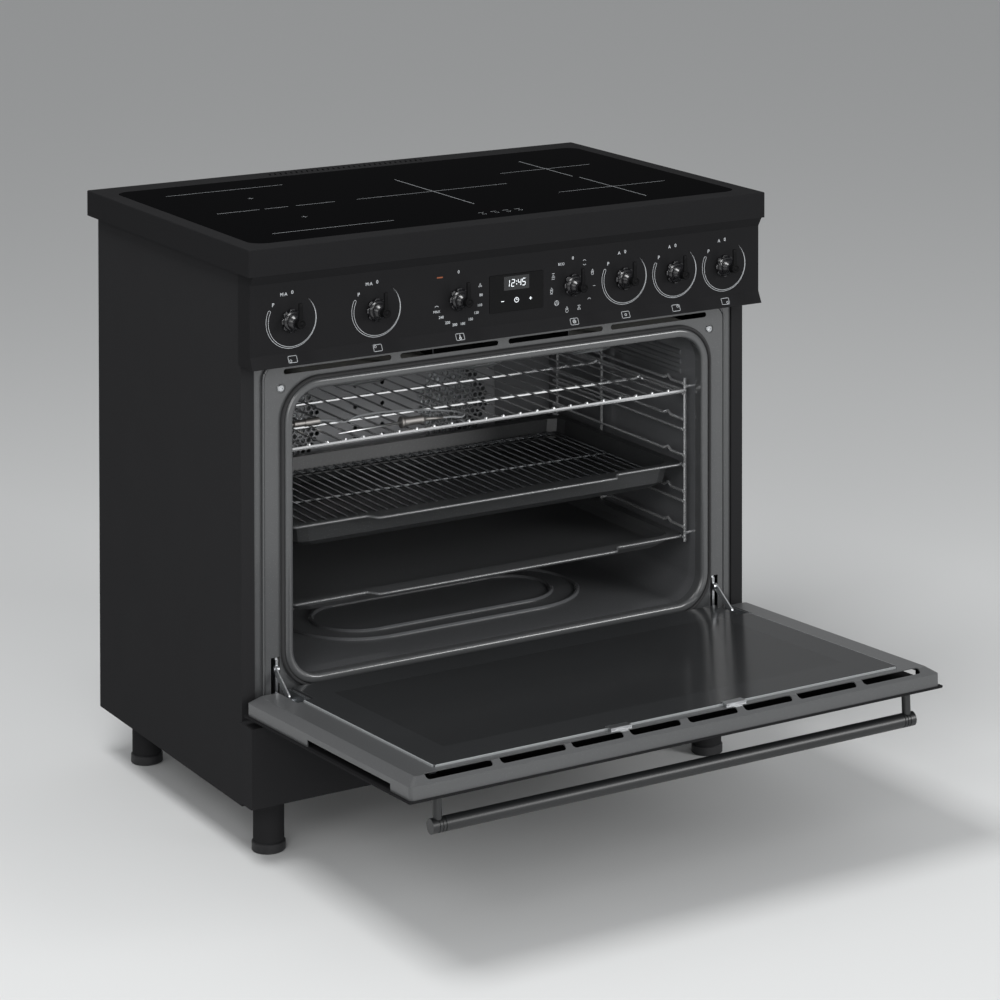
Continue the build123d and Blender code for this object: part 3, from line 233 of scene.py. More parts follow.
doorWindow = dict(half=0.336, middle=-0.506, reach=0.165, through=0.35)
powder = powderCoat("powderCoat", "#212122")
# painted light: the sides, kick panel and base frame get a lighter copy of the same powder coat
sidePowder = powderCoat("sidePowderCoatPaintedLight", "#29292a")
hobGlass = glassCeramic()
greyEnamel = enamel("greyEnamel", "#4c4d4e", "#686a6b", 0.24, 0.16)
doorEnamel = enamel("doorEnamel", "#4b4c4d", "#656768", 0.34, 0.16, 0.08)
# The cavity and the fan cover have the frame's grey enamel, drawn lighter: painted light on the cavity walls,
# and more of it on the fan cover, the lit back wall
cavityEnamelPaintedLight = enamel("cavityEnamelPaintedLight", "#616264", "#787a7b", 0.26, 0.20, 0.2)
coverEnamelPaintedLight = enamel("coverEnamelPaintedLight", "#7b7c7e", "#909193", 0.30, 0.20)
trayEnamel = enamel("trayEnamel", "#2e2f30", "#525354", 0.44, 0.22, 0.0)
lowTrayEnamel = enamel("lowerTrayEnamel", "#444546", "#606162", 0.44, 0.22, 0.0)
# painted highlight: the trays' rolled front edges get a paler, glossier copy of the tray enamel
rollHighlightEnamel = enamel("rolledEdgePaintedHighlight", "#5c5d5e", "#77787a", 0.2, 0.2, 0.5)
# painted light: the racks' chrome is a lighter copy of the grid's plate, near white and a fifth not metal, so
# that their wires look brightly lit
chrome = chromePlate("chromePlate", "#f4f5f6", 0.8)
gridChrome = chromePlate("trayGridChromePlate", "#a9abad", 1.0)
stainless = rolledSteel("stainlessSteel", "#b4b6b8", 0.34, 12.0)
# painted light: the fans, ring elements and hinge links get a lighter copy of the stainless steel, so that they
# glint
glintFanSteel = rolledSteel("fanSteelPaintedGlint", "#e4e6e8", 0.34, 6.0)
gripSteel = rolledSteel("satinGripSteel", "#9a9794", 0.5, 3.0)
needleSteel = rolledSteel("polishedNeedleSteel", "#f2f3f4", 0.30, 3.0)
zinc = rolledSteel("zincCoatedSheet", "#9a9da0", 0.42, 1.6)
# painted shade: the blower housing, seen only through the vent slots, is drawn as a dark grey sheet
ductSheet = rolledSteel("ductSheetPaintedShade", "#3c3d3f", 0.55, 1.6)
aluminium = rolledSteel("aluminiumSheet", "#b4b7b9", 0.38, 8.0)
copper = rolledSteel("lacqueredCopper", "#8c4a2c", 0.35, 1.0)
blackPlastic = moulded("blackNylon", "#1b1b1d", 0.55, 0.25)
knobGloss = moulded("knobLacquer", "#19191b", 0.26, 0.03, 1.7)
# painted shade: the levers get a darker, duller copy of the knobs' lacquer
leverSatinPaintedShade = moulded("leverSatinPaintedShade", "#0d0d0e", 0.45, 0.06, 1.15)
boardGreen = moulded("circuitBoard", "#1f4a32", 0.5, 0.1)
displayGlass = moulded("displayGlass", "#070708", 0.10, 0.02, 1.2)
handlePaint = moulded("handleLacquer", "#1a1b1c", 0.36, 0.08)
glassEdge = dict(half=0.3866, front=-0.7380, colour="#8b8e8f")
innerGlass = printedGlass("innerDoorGlass", doorWindow, "#2d2e2f", "#333435", glassEdge)
outerGlass = printedGlass("outerDoorGlass", doorWindow, "#141516", "#1a1c1d")
gasket = fabricMaterial("glassBraid", "#2a2a2b", 1.6)


# Clear float glass: faint waves across the draw, which bend what it reflects.
def clearGlass():
    material, tree, shader = newMaterial("clearDoorGlass", "#cfd6d4", 0.03, Transmission_Weight=0.9, IOR=1.52)
    relief(tree, shader, 90, 0.05, 0.0004, 1.0)
    return material


middleGlass = clearGlass()
wool = fabricMaterial("mineralWool", "#b4b3ae", 5.0)
leadBraid = fabricMaterial("steelBraid", "#8f9193", 0.9)
print("materials made")

coats = {
    powder: ["hob_frame", "control_panel", "door_skin"],
    sidePowder: ["left_side_panel", "right_side_panel", "kick_panel", "base_frame"],
    hobGlass: ["ceramic_glass"],
    greyEnamel: ["front_frame"],
    doorEnamel: ["door_pan"],
    cavityEnamelPaintedLight: ["oven_cavity"],
    coverEnamelPaintedLight: ["fan_cover"],
    glintFanSteel: [
        "convection_fan_left", "convection_fan_right", "ring_elements", "hinge_link_left", "hinge_link_right",
    ],
    trayEnamel: ["deep_tray"],
    lowTrayEnamel: ["lower_tray"],
    chrome: ["side_rack_left", "side_rack_right", "top_rack"],
    gridChrome: ["tray_grid"],
    stainless: ["grill_element", "frame_screws", "glass_clips", "hinge_brackets"],
    zinc: ["back_panel", "fan_motors", "glass_rails", "hinge_channels"],
    ductSheet: ["blower_housing"],
    gripSteel: ["food_probe", "probe_plug"],
    aluminium: ["coil_tray", "blower_wheel"],
    copper: ["induction_coils"],
    boardGreen: ["power_boards"],
    blackPlastic: [
        "terminal_box", "knob_switches",
        "foot_front_left", "foot_front_right", "foot_back_left", "foot_back_right",
    ],
    displayGlass: ["clock_display"],
    handlePaint: ["handle_bar", "handle_posts"],
    innerGlass: ["door_inner_glass"],
    outerGlass: ["door_outer_glass"],
    middleGlass: ["door_middle_glass"],
    gasket: ["door_seal"],
    wool: ["insulation"],
}
for material, names in coats.items():
    for name in names:
        for slot in nodes[name].material_slots:
            slot.material = material


# Mesh tools
def gridFaces(rows, columns, wrapRows=False, wrapColumns=False):
    # quads between neighbours of a rows by columns grid, with the last joined to the first where it wraps
    r = np.arange(rows if wrapRows else rows - 1)
    c = np.arange(columns if wrapColumns else columns - 1)
    r, c = np.meshgrid(r, c, indexing="ij")
    r2, c2 = (r + 1) % rows, (c + 1) % columns
    quads = np.stack([r * columns + c, r * columns + c2, r2 * columns + c2, r2 * columns + c], -1)
    return quads.reshape(-1, 4)


def makePiece(name, parts, body, material, smooth=True):
    # joins (points, faces) pairs into one mesh object that rides on a body; faces may be a list of groups
    points, faces, start = [], [], 0
    for p, f in parts:
        points.append(p)
        for group in f if isinstance(f, list) else [f]:
            faces += (group + start).tolist()
        start += len(p)
    mesh = bpy.data.meshes.new(name)
    mesh.from_pydata(np.concatenate(points).tolist(), [], faces)
    mesh.materials.append(material)
    mesh.polygons.foreach_set("use_smooth", np.full(len(mesh.polygons), smooth))
    mesh.update()
    piece = bpy.data.objects.new(name, mesh)
    bpy.context.scene.collection.objects.link(piece)
    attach(piece, body)
    return piece


def ribbon(path, width):
    # a flat strip: the path plus and minus half the width along its normal, its direction turned a quarter
    path = np.asarray(path, float)
    width = np.broadcast_to(np.asarray(width, float), (len(path),))
    step = np.gradient(path, axis=0)
    step /= np.linalg.norm(step, axis=1)[:, None]
    side = np.stack([-step[:, 1], step[:, 0]], 1) * width[:, None] / 2
    grid = np.stack([path + side, path - side], 1).reshape(-1, 2)
    return grid, gridFaces(len(path), 2)


def arc(radius, start, stop, centre=(0, 0), steps=48):
    # a circle's arc, its angles counted clockwise from the top
    turn = np.radians(np.linspace(start, stop, steps))
    return np.stack([centre[0] + radius * np.sin(turn), centre[1] + radius * np.cos(turn)], 1)


def letters(text, size):
    # a word in the built-in typeface, as triangles centred on its middle
    curve = bpy.data.curves.new("word", "FONT")
    curve.body, curve.size, curve.offset = text, size, size * 0.018
    curve.align_x, curve.align_y = "CENTER", "CENTER"
    word = bpy.data.objects.new("word", curve)
    mesh = bpy.data.meshes.new_from_object(word)
    mesh.calc_loop_triangles()
    points = np.empty(len(mesh.vertices) * 3)
    faces = np.empty(len(mesh.loop_triangles) * 3, int)
    mesh.vertices.foreach_get("co", points)
    mesh.loop_triangles.foreach_get("vertices", faces)
    bpy.data.objects.remove(word)
    bpy.data.curves.remove(curve)
    bpy.data.meshes.remove(mesh)
    return points.reshape(-1, 3)[:, :2], faces.reshape(-1, 3)


def moved(part, dx, dy):
    return part[0] + (dx, dy), part[1]


def lay(parts, origin, across, up, lift=0.00008):
    # puts flat drawings in millimetres on a plane, a hair above it
    origin, across, up = (np.array(v, float) for v in (origin, across, up))
    out = np.cross(across, up)
    placed = []
    for points, faces in parts:
        points = points / 1000
        placed.append((origin + points[:, :1] * across + points[:, 1:] * up + out * lift, faces))
    return placed


hobFace = dict(origin=(0, 0, 0.905), across=(1, 0, 0), up=(0, 1, 0))
panelFace = dict(origin=(0, -0.290, 0.0), across=(1, 0, 0), up=(0, 0, 1))
flareFace = dict(origin=(0, -0.2945, 0.738), across=(1, 0, 0), up=(0, 9 / 20.125, 18 / 20.125))
displayFace = dict(origin=(0, -0.2906, 0.0), across=(1, 0, 0), up=(0, 0, 1))

# The probe's lead
leadRoute = dict(
    points=[
        (-77, -197, 592.9), (-62, -197, 592.9), (-41, -193, 587.45), (-25, -175, 587.45),
        (-30, -151, 587.45), (-52, -129, 587.45), (-82, -109, 587.45), (-118, -97, 587.45),
        (-156, -93, 587.45), (-188, -105, 587.45), (-208, -127, 587.45), (-229, -109, 591.95),
        (-244, -109, 591.95),
    ],
    diameter=0.003,
    length=0.3255,
)
leadCurve = bpy.data.curves.new("probeLead", "CURVE")
leadCurve.dimensions = "3D"
leadCurve.bevel_depth = leadRoute["diameter"] / 2
leadCurve.bevel_resolution = 4
leadCurve.resolution_u = 12
leadCurve.use_fill_caps = True
spline = leadCurve.splines.new("NURBS")
spline.points.add(len(leadRoute["points"]) - 1)
for point, (x, y, z) in zip(spline.points, leadRoute["points"]):
    point.co = (x / 1000, y / 1000, z / 1000, 1)
spline.order_u = 3
spline.use_endpoint_u = True
leadCurve.materials.append(leadBraid)
lead = bpy.data.objects.new("probeLead", leadCurve)
bpy.context.scene.collection.objects.link(lead)
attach(lead, "wire_shelf")
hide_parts("probe_lead")
print("lead laid")

# Marks on the cooking surface
# Screen printed ceramic ink, fired on: thin, matt and pale grey.
hobInk = moulded("hobInk", "#8f9295", 0.5, 0.02)
hobMarks = dict(
    line=1.5,
    lines=[
        [(-368, 178), (-165, 178)], [(-365, -6), (-293, -6)], [(-284, -6), (-244, -6)],
        [(-231, -6), (-164, -6)], [(-364, -199), (-161, -199)], [(-126, -7), (145, -7)],
        [(10, -141), (10, 124)], [(184, 82), (355, 82)], [(270, -5), (270, 170)],
        [(175, -122), (374, -122)], [(275, -224), (275, -19)],
    ],
    crosses=[(-263, 90), (-262, -99)],
    crossLine=1.2,
    keys=[(-19, -214), (3, -214), (24, -214), (45, -214)],
    keyLine=1.4,
    reach=5.0,  # half the length of a cross and of a key's bar
    keyRing=dict(radius=3.2, line=0.7, before=11.0),
)
marks = [ribbon(line, hobMarks["line"]) for line in hobMarks["lines"]]
reach, keyRing = hobMarks["reach"], hobMarks["keyRing"]
for x, y in hobMarks["crosses"]:
    marks.append(ribbon([(x - reach, y), (x + reach, y)], hobMarks["crossLine"]))
    marks.append(ribbon([(x, y - reach), (x, y + reach)], hobMarks["crossLine"]))
for x, y in hobMarks["keys"]:
    marks.append(ribbon([(x - reach, y), (x + reach, y)], hobMarks["keyLine"]))
    marks.append(ribbon(arc(keyRing["radius"], 0, 360, (x, y - keyRing["before"]), 20), keyRing["line"]))
hobPrint = makePiece("hobPrint", lay(marks, **hobFace), "range", hobInk, smooth=False)
print("cooking surface marked")

# Marks on the control panel
# Pad printed two-part ink: a flat, slightly raised pale grey.
panelInk = moulded("panelInk", "#b3b6b9", 0.5, 0.02)
panelMarks = dict(
    # zone knobs: place, word and the word's angle, which is counted clockwise from the top
    zones=[
        (-378.0, "M·A", -17), (-239.0, "M·A", -17),
        (192.667, "A", -13), (285.333, "A", -13), (378.0, "A", -13),
    ],
    wordSize=6.8,
    # text, size, angle and radius, round a zone knob, the thermostat and the function knob
    zoneBoost=("P", 7.4, -49, 38.6),
    zoneOff=("0", 7.2, 2.5, 41.0),
    thermostatEnds=[("0", 6.6, 0, 41.0), ("MAX", 5.4, 248, 40.5)],
    functionEnds=[("0", 6.6, 0, 41.0), ("ECO", 5.6, 328.5, 39.5)],
    thermostat=-100.0,
    function=100.0,
    functions=11,
    height=794.0,
    arcRadius=40.5,
    arcAngles=(43, 294),
    opening=4.0,
    line=0.62,
    labelRadius=41.0,
    scale=[
        ("80", 87), ("110", 110), ("130", 128.5), ("150", 148),
        ("180", 170), ("200", 190), ("220", 209.5), ("240", 231),
    ],
    scaleSize=5.6,
    scaleRadius=38.5,
    fanAngle=66,
    grillAngle=258,
)


def onCircle(part, x, angle, radius):
    # to x + radius sin(angle), height + radius cos(angle)
    turn = math.radians(angle)
    return moved(part, x + radius * math.sin(turn), panelMarks["height"] + radius * math.cos(turn))


def powerArc(x):
    # two lines that start as one at the upper right and open out to the closed upper left end
    sweep = arc(1.0, *panelMarks["arcAngles"], steps=90)
    outer = sweep * panelMarks["arcRadius"]
    inner = sweep * (panelMarks["arcRadius"] - np.linspace(0, panelMarks["opening"], len(sweep)))[:, None]
    middle = (outer[-1] + inner[-1]) / 2
    along = (outer[-1] - outer[-2]) / np.linalg.norm(outer[-1] - outer[-2])
    across = (outer[-1] - inner[-1]) / 2
    turn = np.linspace(0, np.pi, 14)[:, None]
    cap = middle + across * np.cos(turn) + along * panelMarks["opening"] / 2 * np.sin(turn)
    place = (x, panelMarks["height"])
    return [moved(ribbon(p, panelMarks["line"]), *place) for p in (outer, inner, cap)]


def fanSign(radius):
    # three thin loops round a point: radius x ((1 - cos t) / 2, 0.32 sin t), turned by thirds
    turn = np.linspace(0, 2 * np.pi, 16)
    petals = []
    for i in range(3):
        a = 2 * np.pi * i / 3
        x = radius * (0.5 - 0.5 * np.cos(turn))
        y = radius * 0.32 * np.sin(turn)
        petal = np.stack([x * np.sin(a) + y * np.cos(a), x * np.cos(a) - y * np.sin(a)], 1)
        petals.append(ribbon(petal, 0.6))
    return petals


def ring(radius, line=0.6, centre=(0, 0)):
    return [ribbon(arc(radius, 0, 360, centre, 24), line)]


def bar(y, half=2.6, line=0.7, rise=0.0):
    # a short line, level or arched
    x = np.linspace(-half, half, 9)
    return [ribbon(np.stack([x, y + rise * (1 - (x / half) ** 2)], 1), line)]


functionSigns = [
    bar(2.6, rise=1.4) + bar(-2.6, rise=-1.4),
    [moved(p, 0, 1.6) for p in fanSign(2.6)] + ring(2.0, centre=(0, -2.2)),
    bar(0, half=2.2),
    bar(0, rise=1.6),
    bar(3.4, rise=0.8) + [moved(p, 0, -0.6) for p in fanSign(3.0)],
    [moved(p, 0, 2.0) for p in fanSign(2.4)] + ring(2.4, centre=(0, -2.2)),
    ring(3.8) + fanSign(3.2),
    [moved(p, 0, 2.0) for p in fanSign(2.4)] + ring(2.0, centre=(0, -1.8)) + bar(-4.6, half=2.2),
    bar(4.4, half=2.2, rise=0.6) + fanSign(2.8) + bar(-3.8, half=2.6),
]


def signFrame(content):
    # a frame with cut corners, about 14 by 10, round the content
    outline = [(-6, -5), (6, -5), (6.9, -4), (6.9, 4), (6, 5), (-6, 5), (-6.9, 4), (-6.9, -4), (-6, -5)]
    return [ribbon(outline, 0.66)] + content


def lettersAt(x, text, size, angle, radius):
    # a word with its middle on a circle round a knob
    return onCircle(letters(text, size), x, angle, radius)


# the ring in a zone's sign stands where the zone lies on the cooking surface
zoneCorners = [(-3.6, -2.2), (-3.6, 2.2), (0, 0), (3.6, 2.2), (3.6, -2.2)]
thermostat, function = panelMarks["thermostat"], panelMarks["function"]
scaleSize, scaleRadius = panelMarks["scaleSize"], panelMarks["scaleRadius"]
marks = []
flareMarks = []
for (x, word, angle), corner in zip(panelMarks["zones"], zoneCorners):
    marks += powerArc(x)
    marks += [
        lettersAt(x, *panelMarks["zoneBoost"]),
        lettersAt(x, word, panelMarks["wordSize"], angle, panelMarks["labelRadius"]),
        lettersAt(x, *panelMarks["zoneOff"]),
    ]
    flareMarks += [moved(p, x, 0) for p in signFrame(ring(1.7, 0.7, corner))]
marks += [lettersAt(thermostat, text, scaleSize, angle, scaleRadius) for text, angle in panelMarks["scale"]]
marks += [lettersAt(thermostat, *end) for end in panelMarks["thermostatEnds"]]
marks += [lettersAt(function, *end) for end in panelMarks["functionEnds"]]
marks += [onCircle(p, thermostat, panelMarks["fanAngle"], panelMarks["arcRadius"]) for p in fanSign(3.0)]
grill = bar(0, half=3.0, rise=1.6)
marks += [onCircle(p, thermostat, panelMarks["grillAngle"], scaleRadius) for p in grill]
for i, sign in enumerate(functionSigns):
    # the off place is at the top, and the signs follow it clockwise
    angle = (i + 1) * 360 / panelMarks["functions"]
    marks += [onCircle(p, function, angle, scaleRadius) for p in sign]
drop = [ribbon([(0, 3.4), (0, -0.6)], 1.4)] + ring(1.5, 1.2, (0, -2.2))
flareMarks += [moved(p, thermostat, 0) for p in signFrame(drop)]
flareMarks += [moved(p, function, 0) for p in signFrame(ring(2.6, 0.7) + fanSign(2.2))]
panelPrint = makePiece(
    "panelPrint", lay(marks, **panelFace) + lay(flareMarks, **flareFace), "range", panelInk, smooth=False,
)

# The oven's warning light: a short orange window beside the thermostat
lampGlow = moulded("lampLens", "#84431f", 0.3, 0.04)
ovenLight = dict(half=5.0, line=2.0, across=-32.0, up=36.0)
window = ribbon([(-ovenLight["half"], 0), (ovenLight["half"], 0)], ovenLight["line"])
lampMark = [moved(window, thermostat + ovenLight["across"], panelMarks["height"] + ovenLight["up"])]
lampPiece = makePiece("ovenLight", lay(lampMark, **panelFace), "range", lampGlow, smooth=False)
print("control panel marked")

# The clock
clock = dict(
    height=808.5,
    digitWidth=5.0,
    digitHeight=10.2,
    lean=0.08,
    stroke=1.0,
    # how much of each segment is lit, so that gaps part them
    lit=0.86,
    digits=[("1", -17.6), ("2", -8.8), ("4", 2.6), ("5", 10.2)],
    colon=2.2,
    colonDot=1.4,
    # the keys under the digits, a minus, a plus and a clock face: line width and ends, and the face's ring
    keys=782.0,
    keySigns=[
        (0.9, [(-27, 0), (-22, 0)]), (0.9, [(22, 0), (27, 0)]), (0.9, [(24.5, -2.5), (24.5, 2.5)]),
        (0.7, [(0, 0), (0, 2.4)]), (0.7, [(0, 0), (1.8, 0)]),
    ],
    keyRing=(3.6, 0.8),
    paneHalf=22.0,
    paneHeight=21.0,
)
segments = {
    "a": [(0, 1), (1, 1)], "b": [(1, 1), (1, 0.5)], "c": [(1, 0.5), (1, 0)], "d": [(0, 0), (1, 0)],
    "e": [(0, 0.5), (0, 0)], "f": [(0, 1), (0, 0.5)], "g": [(0, 0.5), (1, 0.5)],
}
litSegments = {"1": "bc", "2": "abged", "4": "fgbc", "5": "afgcd"}


def clockDigit(name, left):
    # its segments, each shrunk about its middle, then x leans with the height
    parts = []
    for key in litSegments[name]:
        ends = np.array(segments[key], float)
        middle = ends.mean(0)
        ends = middle + (ends - middle) * clock["lit"]
        x = left + ends[:, 0] * clock["digitWidth"]
        y = clock["height"] + (ends[:, 1] - 0.5) * clock["digitHeight"]
        x = x + (y - clock["height"]) * clock["lean"]
        parts.append(ribbon(np.stack([x, y], 1), clock["stroke"]))
    return parts


glow = []
for name, left in clock["digits"]:
    glow += clockDigit(name, left)
dot = clock["colonDot"]
for y in (clock["height"] - clock["colon"], clock["height"] + clock["colon"]):
    glow.append(ribbon([(-dot / 2, y), (dot / 2, y)], dot))
glow += [moved(ribbon(line, width), 0, clock["keys"]) for width, line in clock["keySigns"]]
glow += ring(*clock["keyRing"], (0, clock["keys"]))
# Light emitting segments behind a diffusing film: an even cool white glow, with the film's fine grain
clockLight, lightTree, lightShader = newMaterial(
    "clockLight", "#d9dde0", 0.6, Emission_Color=linear("#e6ecf0"), Emission_Strength=0.75,
)
relief(lightTree, lightShader, 0.8, 0.1, 0.0001)
clockMarks = lay(glow, **displayFace, lift=0.00016)
clockPiece = makePiece("clockDigits", clockMarks, "range", clockLight, smooth=False)
pane = moulded("clockPane", "#18191b", 0.2, 0.02)
paneLine = [(-clock["paneHalf"], clock["height"]), (clock["paneHalf"], clock["height"])]
paneMark = [ribbon(paneLine, clock["paneHeight"])]
panePiece = makePiece("clockPane", lay(paneMark, **displayFace), "range", pane, smooth=False)
print("clock lit")

# Knobs
knobs = dict(
    height=0.794,
    face=-0.291,
    places={
        "zone_knob_1": -0.378, "zone_knob_2": -0.239, "thermostat_knob": -0.1, "function_knob": 0.1,
        "zone_knob_3": 0.1926667, "zone_knob_4": 0.2853333, "zone_knob_5": 0.378,
    },
    lobes=8,
    # the dips between the collar's lobes: their share of the radius, the depth of their middle and how far
    # they reach from it, the powers that fade and narrow them, and the least radius that has them
    dip=dict(share=0.19, depth=2.6, reach=3.4, fade=0.4, narrow=0.8, least=15.5),
    # depth from the panel and radius, in millimetres, from the back of the collar to the drum's end
    profile=[
        (0.0, 0.0), (0.0, 16.6), (0.4, 17.3), (1.2, 17.5), (3.4, 17.5), (4.0, 17.1), (4.3, 16.0), (4.6, 15.6),
        (5.4, 15.4), (7.0, 14.6), (8.6, 13.5), (9.8, 12.5), (10.2, 11.8), (10.6, 11.7), (11.0, 12.6),
        (11.8, 12.6), (13.4, 12.0), (15.4, 11.0), (17.4, 9.8), (19.2, 8.5), (20.4, 7.8), (21.6, 7.4),
        (24.0, 7.0),
    ],
    # the same for the boss that carries the lever
    boss=[
        (24.0, 7.0), (30.0, 6.6), (32.6, 6.8), (33.6, 6.7), (34.0, 6.2),
        (34.0, 4.9), (33.4, 4.6), (33.4, 2.6), (33.8, 2.2), (33.8, 0.0),
    ],
    # height over the knob's middle, width and thickness
    lever=[
        (0.0, 8.6, 5.6), (4.0, 8.0, 5.6), (12.0, 6.6, 5.0), (24.0, 6.0, 4.2),
        (29.4, 5.8, 3.8), (30.7, 4.8, 2.9), (31.0, 0.0, 0.0),
    ],
    leverDepth=30.2,
    leverLean=0.03,
)


def knobBody(profile):
    # radius = profile(depth) x (1 - fall x s), where s is a pulse of cos(lobes x angle) and the fall ends
    # past the collar
    profile = np.array(profile)
    dip = knobs["dip"]
    turn = np.linspace(0, 2 * np.pi, 144, endpoint=False)
    depth, radius = profile[:, :1], profile[:, 1:]
    near = np.clip(1 - np.abs(depth - dip["depth"]) / dip["reach"], 0, 1)
    fall = dip["share"] * near ** dip["fade"] * (radius > dip["least"])
    pulse = np.clip(np.cos(knobs["lobes"] * turn + np.pi), 0, 1) ** dip["narrow"]
    radius = radius * (1 - fall * pulse[None, :])
    points = np.stack([radius * np.sin(turn), -depth + 0 * turn, radius * np.cos(turn)], -1)
    return points.reshape(-1, 3), gridFaces(len(profile), len(turn), wrapColumns=True)[:, ::-1]


def knobLever():
    # a rounded bar: at each height a superellipse |x/a|^4 + |y/b|^4 = 1, whose half widths shrink to the tip
    rows = np.array(knobs["lever"])
    turn = np.linspace(0, 2 * np.pi, 32, endpoint=False)
    c, s = np.cos(turn), np.sin(turn)
    rim = (np.abs(c) ** 4 + np.abs(s) ** 4) ** -0.25
    height, wide, deep = rows[:, :1], rows[:, 1:2] / 2, rows[:, 2:] / 2
    lean = -knobs["leverDepth"] + height * knobs["leverLean"]
    points = np.stack([wide * c * rim, lean + deep * s * rim, height + 0 * turn], -1)
    return points.reshape(-1, 3), gridFaces(len(rows), len(turn), wrapColumns=True)


for name, x in knobs["places"].items():
    place = np.array([x, knobs["face"], knobs["height"]])
    shapes = (knobBody(knobs["profile"]), knobBody(knobs["boss"]), knobLever())
    body, *lever = [(points / 1000 + place, faces) for points, faces in shapes]
    knobPiece = makePiece(name + "Body", [body], name, knobGloss)
    leverPiece = makePiece(name + "Lever", lever, name, leverSatinPaintedShade)
    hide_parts(name)
print("knobs turned")


# Rims and rolls, which the solids show more plainly than the real ones look
def tube(path, radius, sides=12, closed=False):
    # a circle carried along a path: centre + radius x (cos a x side + sin a x over), both square to the path
    path = np.asarray(path, float)
    if closed:
        step = np.roll(path, -1, 0) - np.roll(path, 1, 0)
    else:
        step = np.gradient(path, axis=0)
    step /= np.linalg.norm(step, axis=1)[:, None]
    up = np.where(np.abs(step[:, 2:]) > 0.9, [[0.0, 1.0, 0.0]], [[0.0, 0.0, 1.0]])
    side = np.cross(step, up)
    side /= np.linalg.norm(side, axis=1)[:, None]
    over = np.cross(side, step)
    turn = np.linspace(0, 2 * np.pi, sides, endpoint=False)[None, :, None]
    radius = np.broadcast_to(np.asarray(radius, float), (len(path),))[:, None, None]
    points = path[:, None] + radius * (np.cos(turn) * side[:, None] + np.sin(turn) * over[:, None])
    faces = [gridFaces(len(path), sides, wrapRows=closed, wrapColumns=True)[:, ::-1]]
    if not closed:
        ends = np.stack([np.arange(sides), (len(path) - 1) * sides + np.arange(sides)[::-1]])
        faces.append(ends)
    return points.reshape(-1, 3), faces


def roundedLoop(halfX, low, high, radius, steps=12):
    # the outline of a rectangle with round corners, as X and Z, once round
    turn = np.linspace(0, np.pi / 2, steps)
    corners = []
    right, top, bottom = halfX - radius, high - radius, low + radius
    for i, (cx, cz) in enumerate([(right, top), (-right, top), (-right, bottom), (right, bottom)]):
        a = turn + i * np.pi / 2
        corners.append(np.stack([cx + radius * np.cos(a), cz + radius * np.sin(a)], 1))
    loop = np.concatenate(corners)
    # divided so that the long sides have points too
    closedLoop = np.vstack([loop, loop[:1]])
    length = np.r_[0, np.cumsum(np.linalg.norm(np.diff(closedLoop, axis=0), axis=1))]
    at = np.unique(np.r_[length[:-1], np.linspace(0, length[-1], 120, endpoint=False)])
    return np.stack([np.interp(at, length, closedLoop[:, 0]), np.interp(at, length, closedLoop[:, 1])], 1)


# The mouth's rolled rim: a half round |d/a|^3 + |h/b|^3 = 1 carried round the opening
rolledRim = dict(half=359.0, low=254.0, high=681.0, radius=45.0, middle=6.3, wide=7.0, proud=6.4, face=-250.0)
frameBead = dict(half=404.5, low=214.0, high=724.0, radius=24.0, thick=1.7, face=-250.0)
plateEdge = dict(half=436.6, low=197.5, high=748.0, thick=1.8, face=-246.4)


def rimSurface():
    rim = rolledRim
    turn = np.linspace(0, np.pi, 15)
    c, s = np.cos(turn), np.sin(turn)
    size = (np.abs(c) ** 3 + np.abs(s) ** 3) ** (-1 / 3)
    rows = []
    base = roundedLoop(rim["half"], rim["low"], rim["high"], rim["radius"])
    flat = np.vstack([base, base[:1]])
    out = np.stack([np.gradient(flat[:, 1])[:-1], -np.gradient(flat[:, 0])[:-1]], 1)
    out /= np.linalg.norm(out, axis=1)[:, None]
    for d, h in zip(rim["middle"] + rim["wide"] * c * size, rim["proud"] * s * size):
        loop = base + out * d
        rows.append(np.stack([loop[:, 0], np.full(len(loop), rim["face"] - h), loop[:, 1]], 1))
    points = np.array(rows)
    return points.reshape(-1, 3) / 1000, gridFaces(len(rows), points.shape[1], wrapColumns=True)


def beadPath(bead):
    # the outline of a rounded rectangle, set on the bead's face
    loop = roundedLoop(bead["half"], bead["low"], bead["high"], bead["radius"])
    return np.stack([loop[:, 0], np.full(len(loop), bead["face"]), loop[:, 1]], 1) / 1000


frameTrim = [rimSurface(), tube(beadPath(frameBead), frameBead["thick"] / 1000, closed=True)]
z = np.linspace(plateEdge["low"], plateEdge["high"], 24)
for side in (-1, 1):
    path = np.stack([0 * z + side * plateEdge["half"], 0 * z + plateEdge["face"], z], 1)
    frameTrim.append(tube(path / 1000, plateEdge["thick"] / 1000))
frameRolls = makePiece("frameRolls", frameTrim, "range", greyEnamel)

# The trays' rolled front edges: y = front - proud x smooth((lip + rest - |x|) / step), bent back at the ends
trayRolls = dict(
    half=346.0,
    lip=208.0,
    rest=14.0,
    step=15.0,
    corner=12.0,
    front=-223.0,
    proud=18.6,
    thick=2.1,
    trays=[("deepTray", "deep_tray_set", 468.3), ("lowerTray", "lower_tray", 353.1)],
)


def trayRoll(height):
    roll = trayRolls
    x = np.linspace(-roll["half"], roll["half"], 241)
    t = np.clip((roll["lip"] + roll["rest"] - np.abs(x)) / roll["step"], 0, 1)
    y = roll["front"] - roll["proud"] * t * t * (3 - 2 * t)
    y = y + roll["corner"] * np.clip((np.abs(x) - roll["half"] + roll["corner"]) / roll["corner"], 0, 1) ** 3
    return tube(np.stack([x, y, 0 * x + height], 1) / 1000, roll["thick"] / 1000, sides=10)


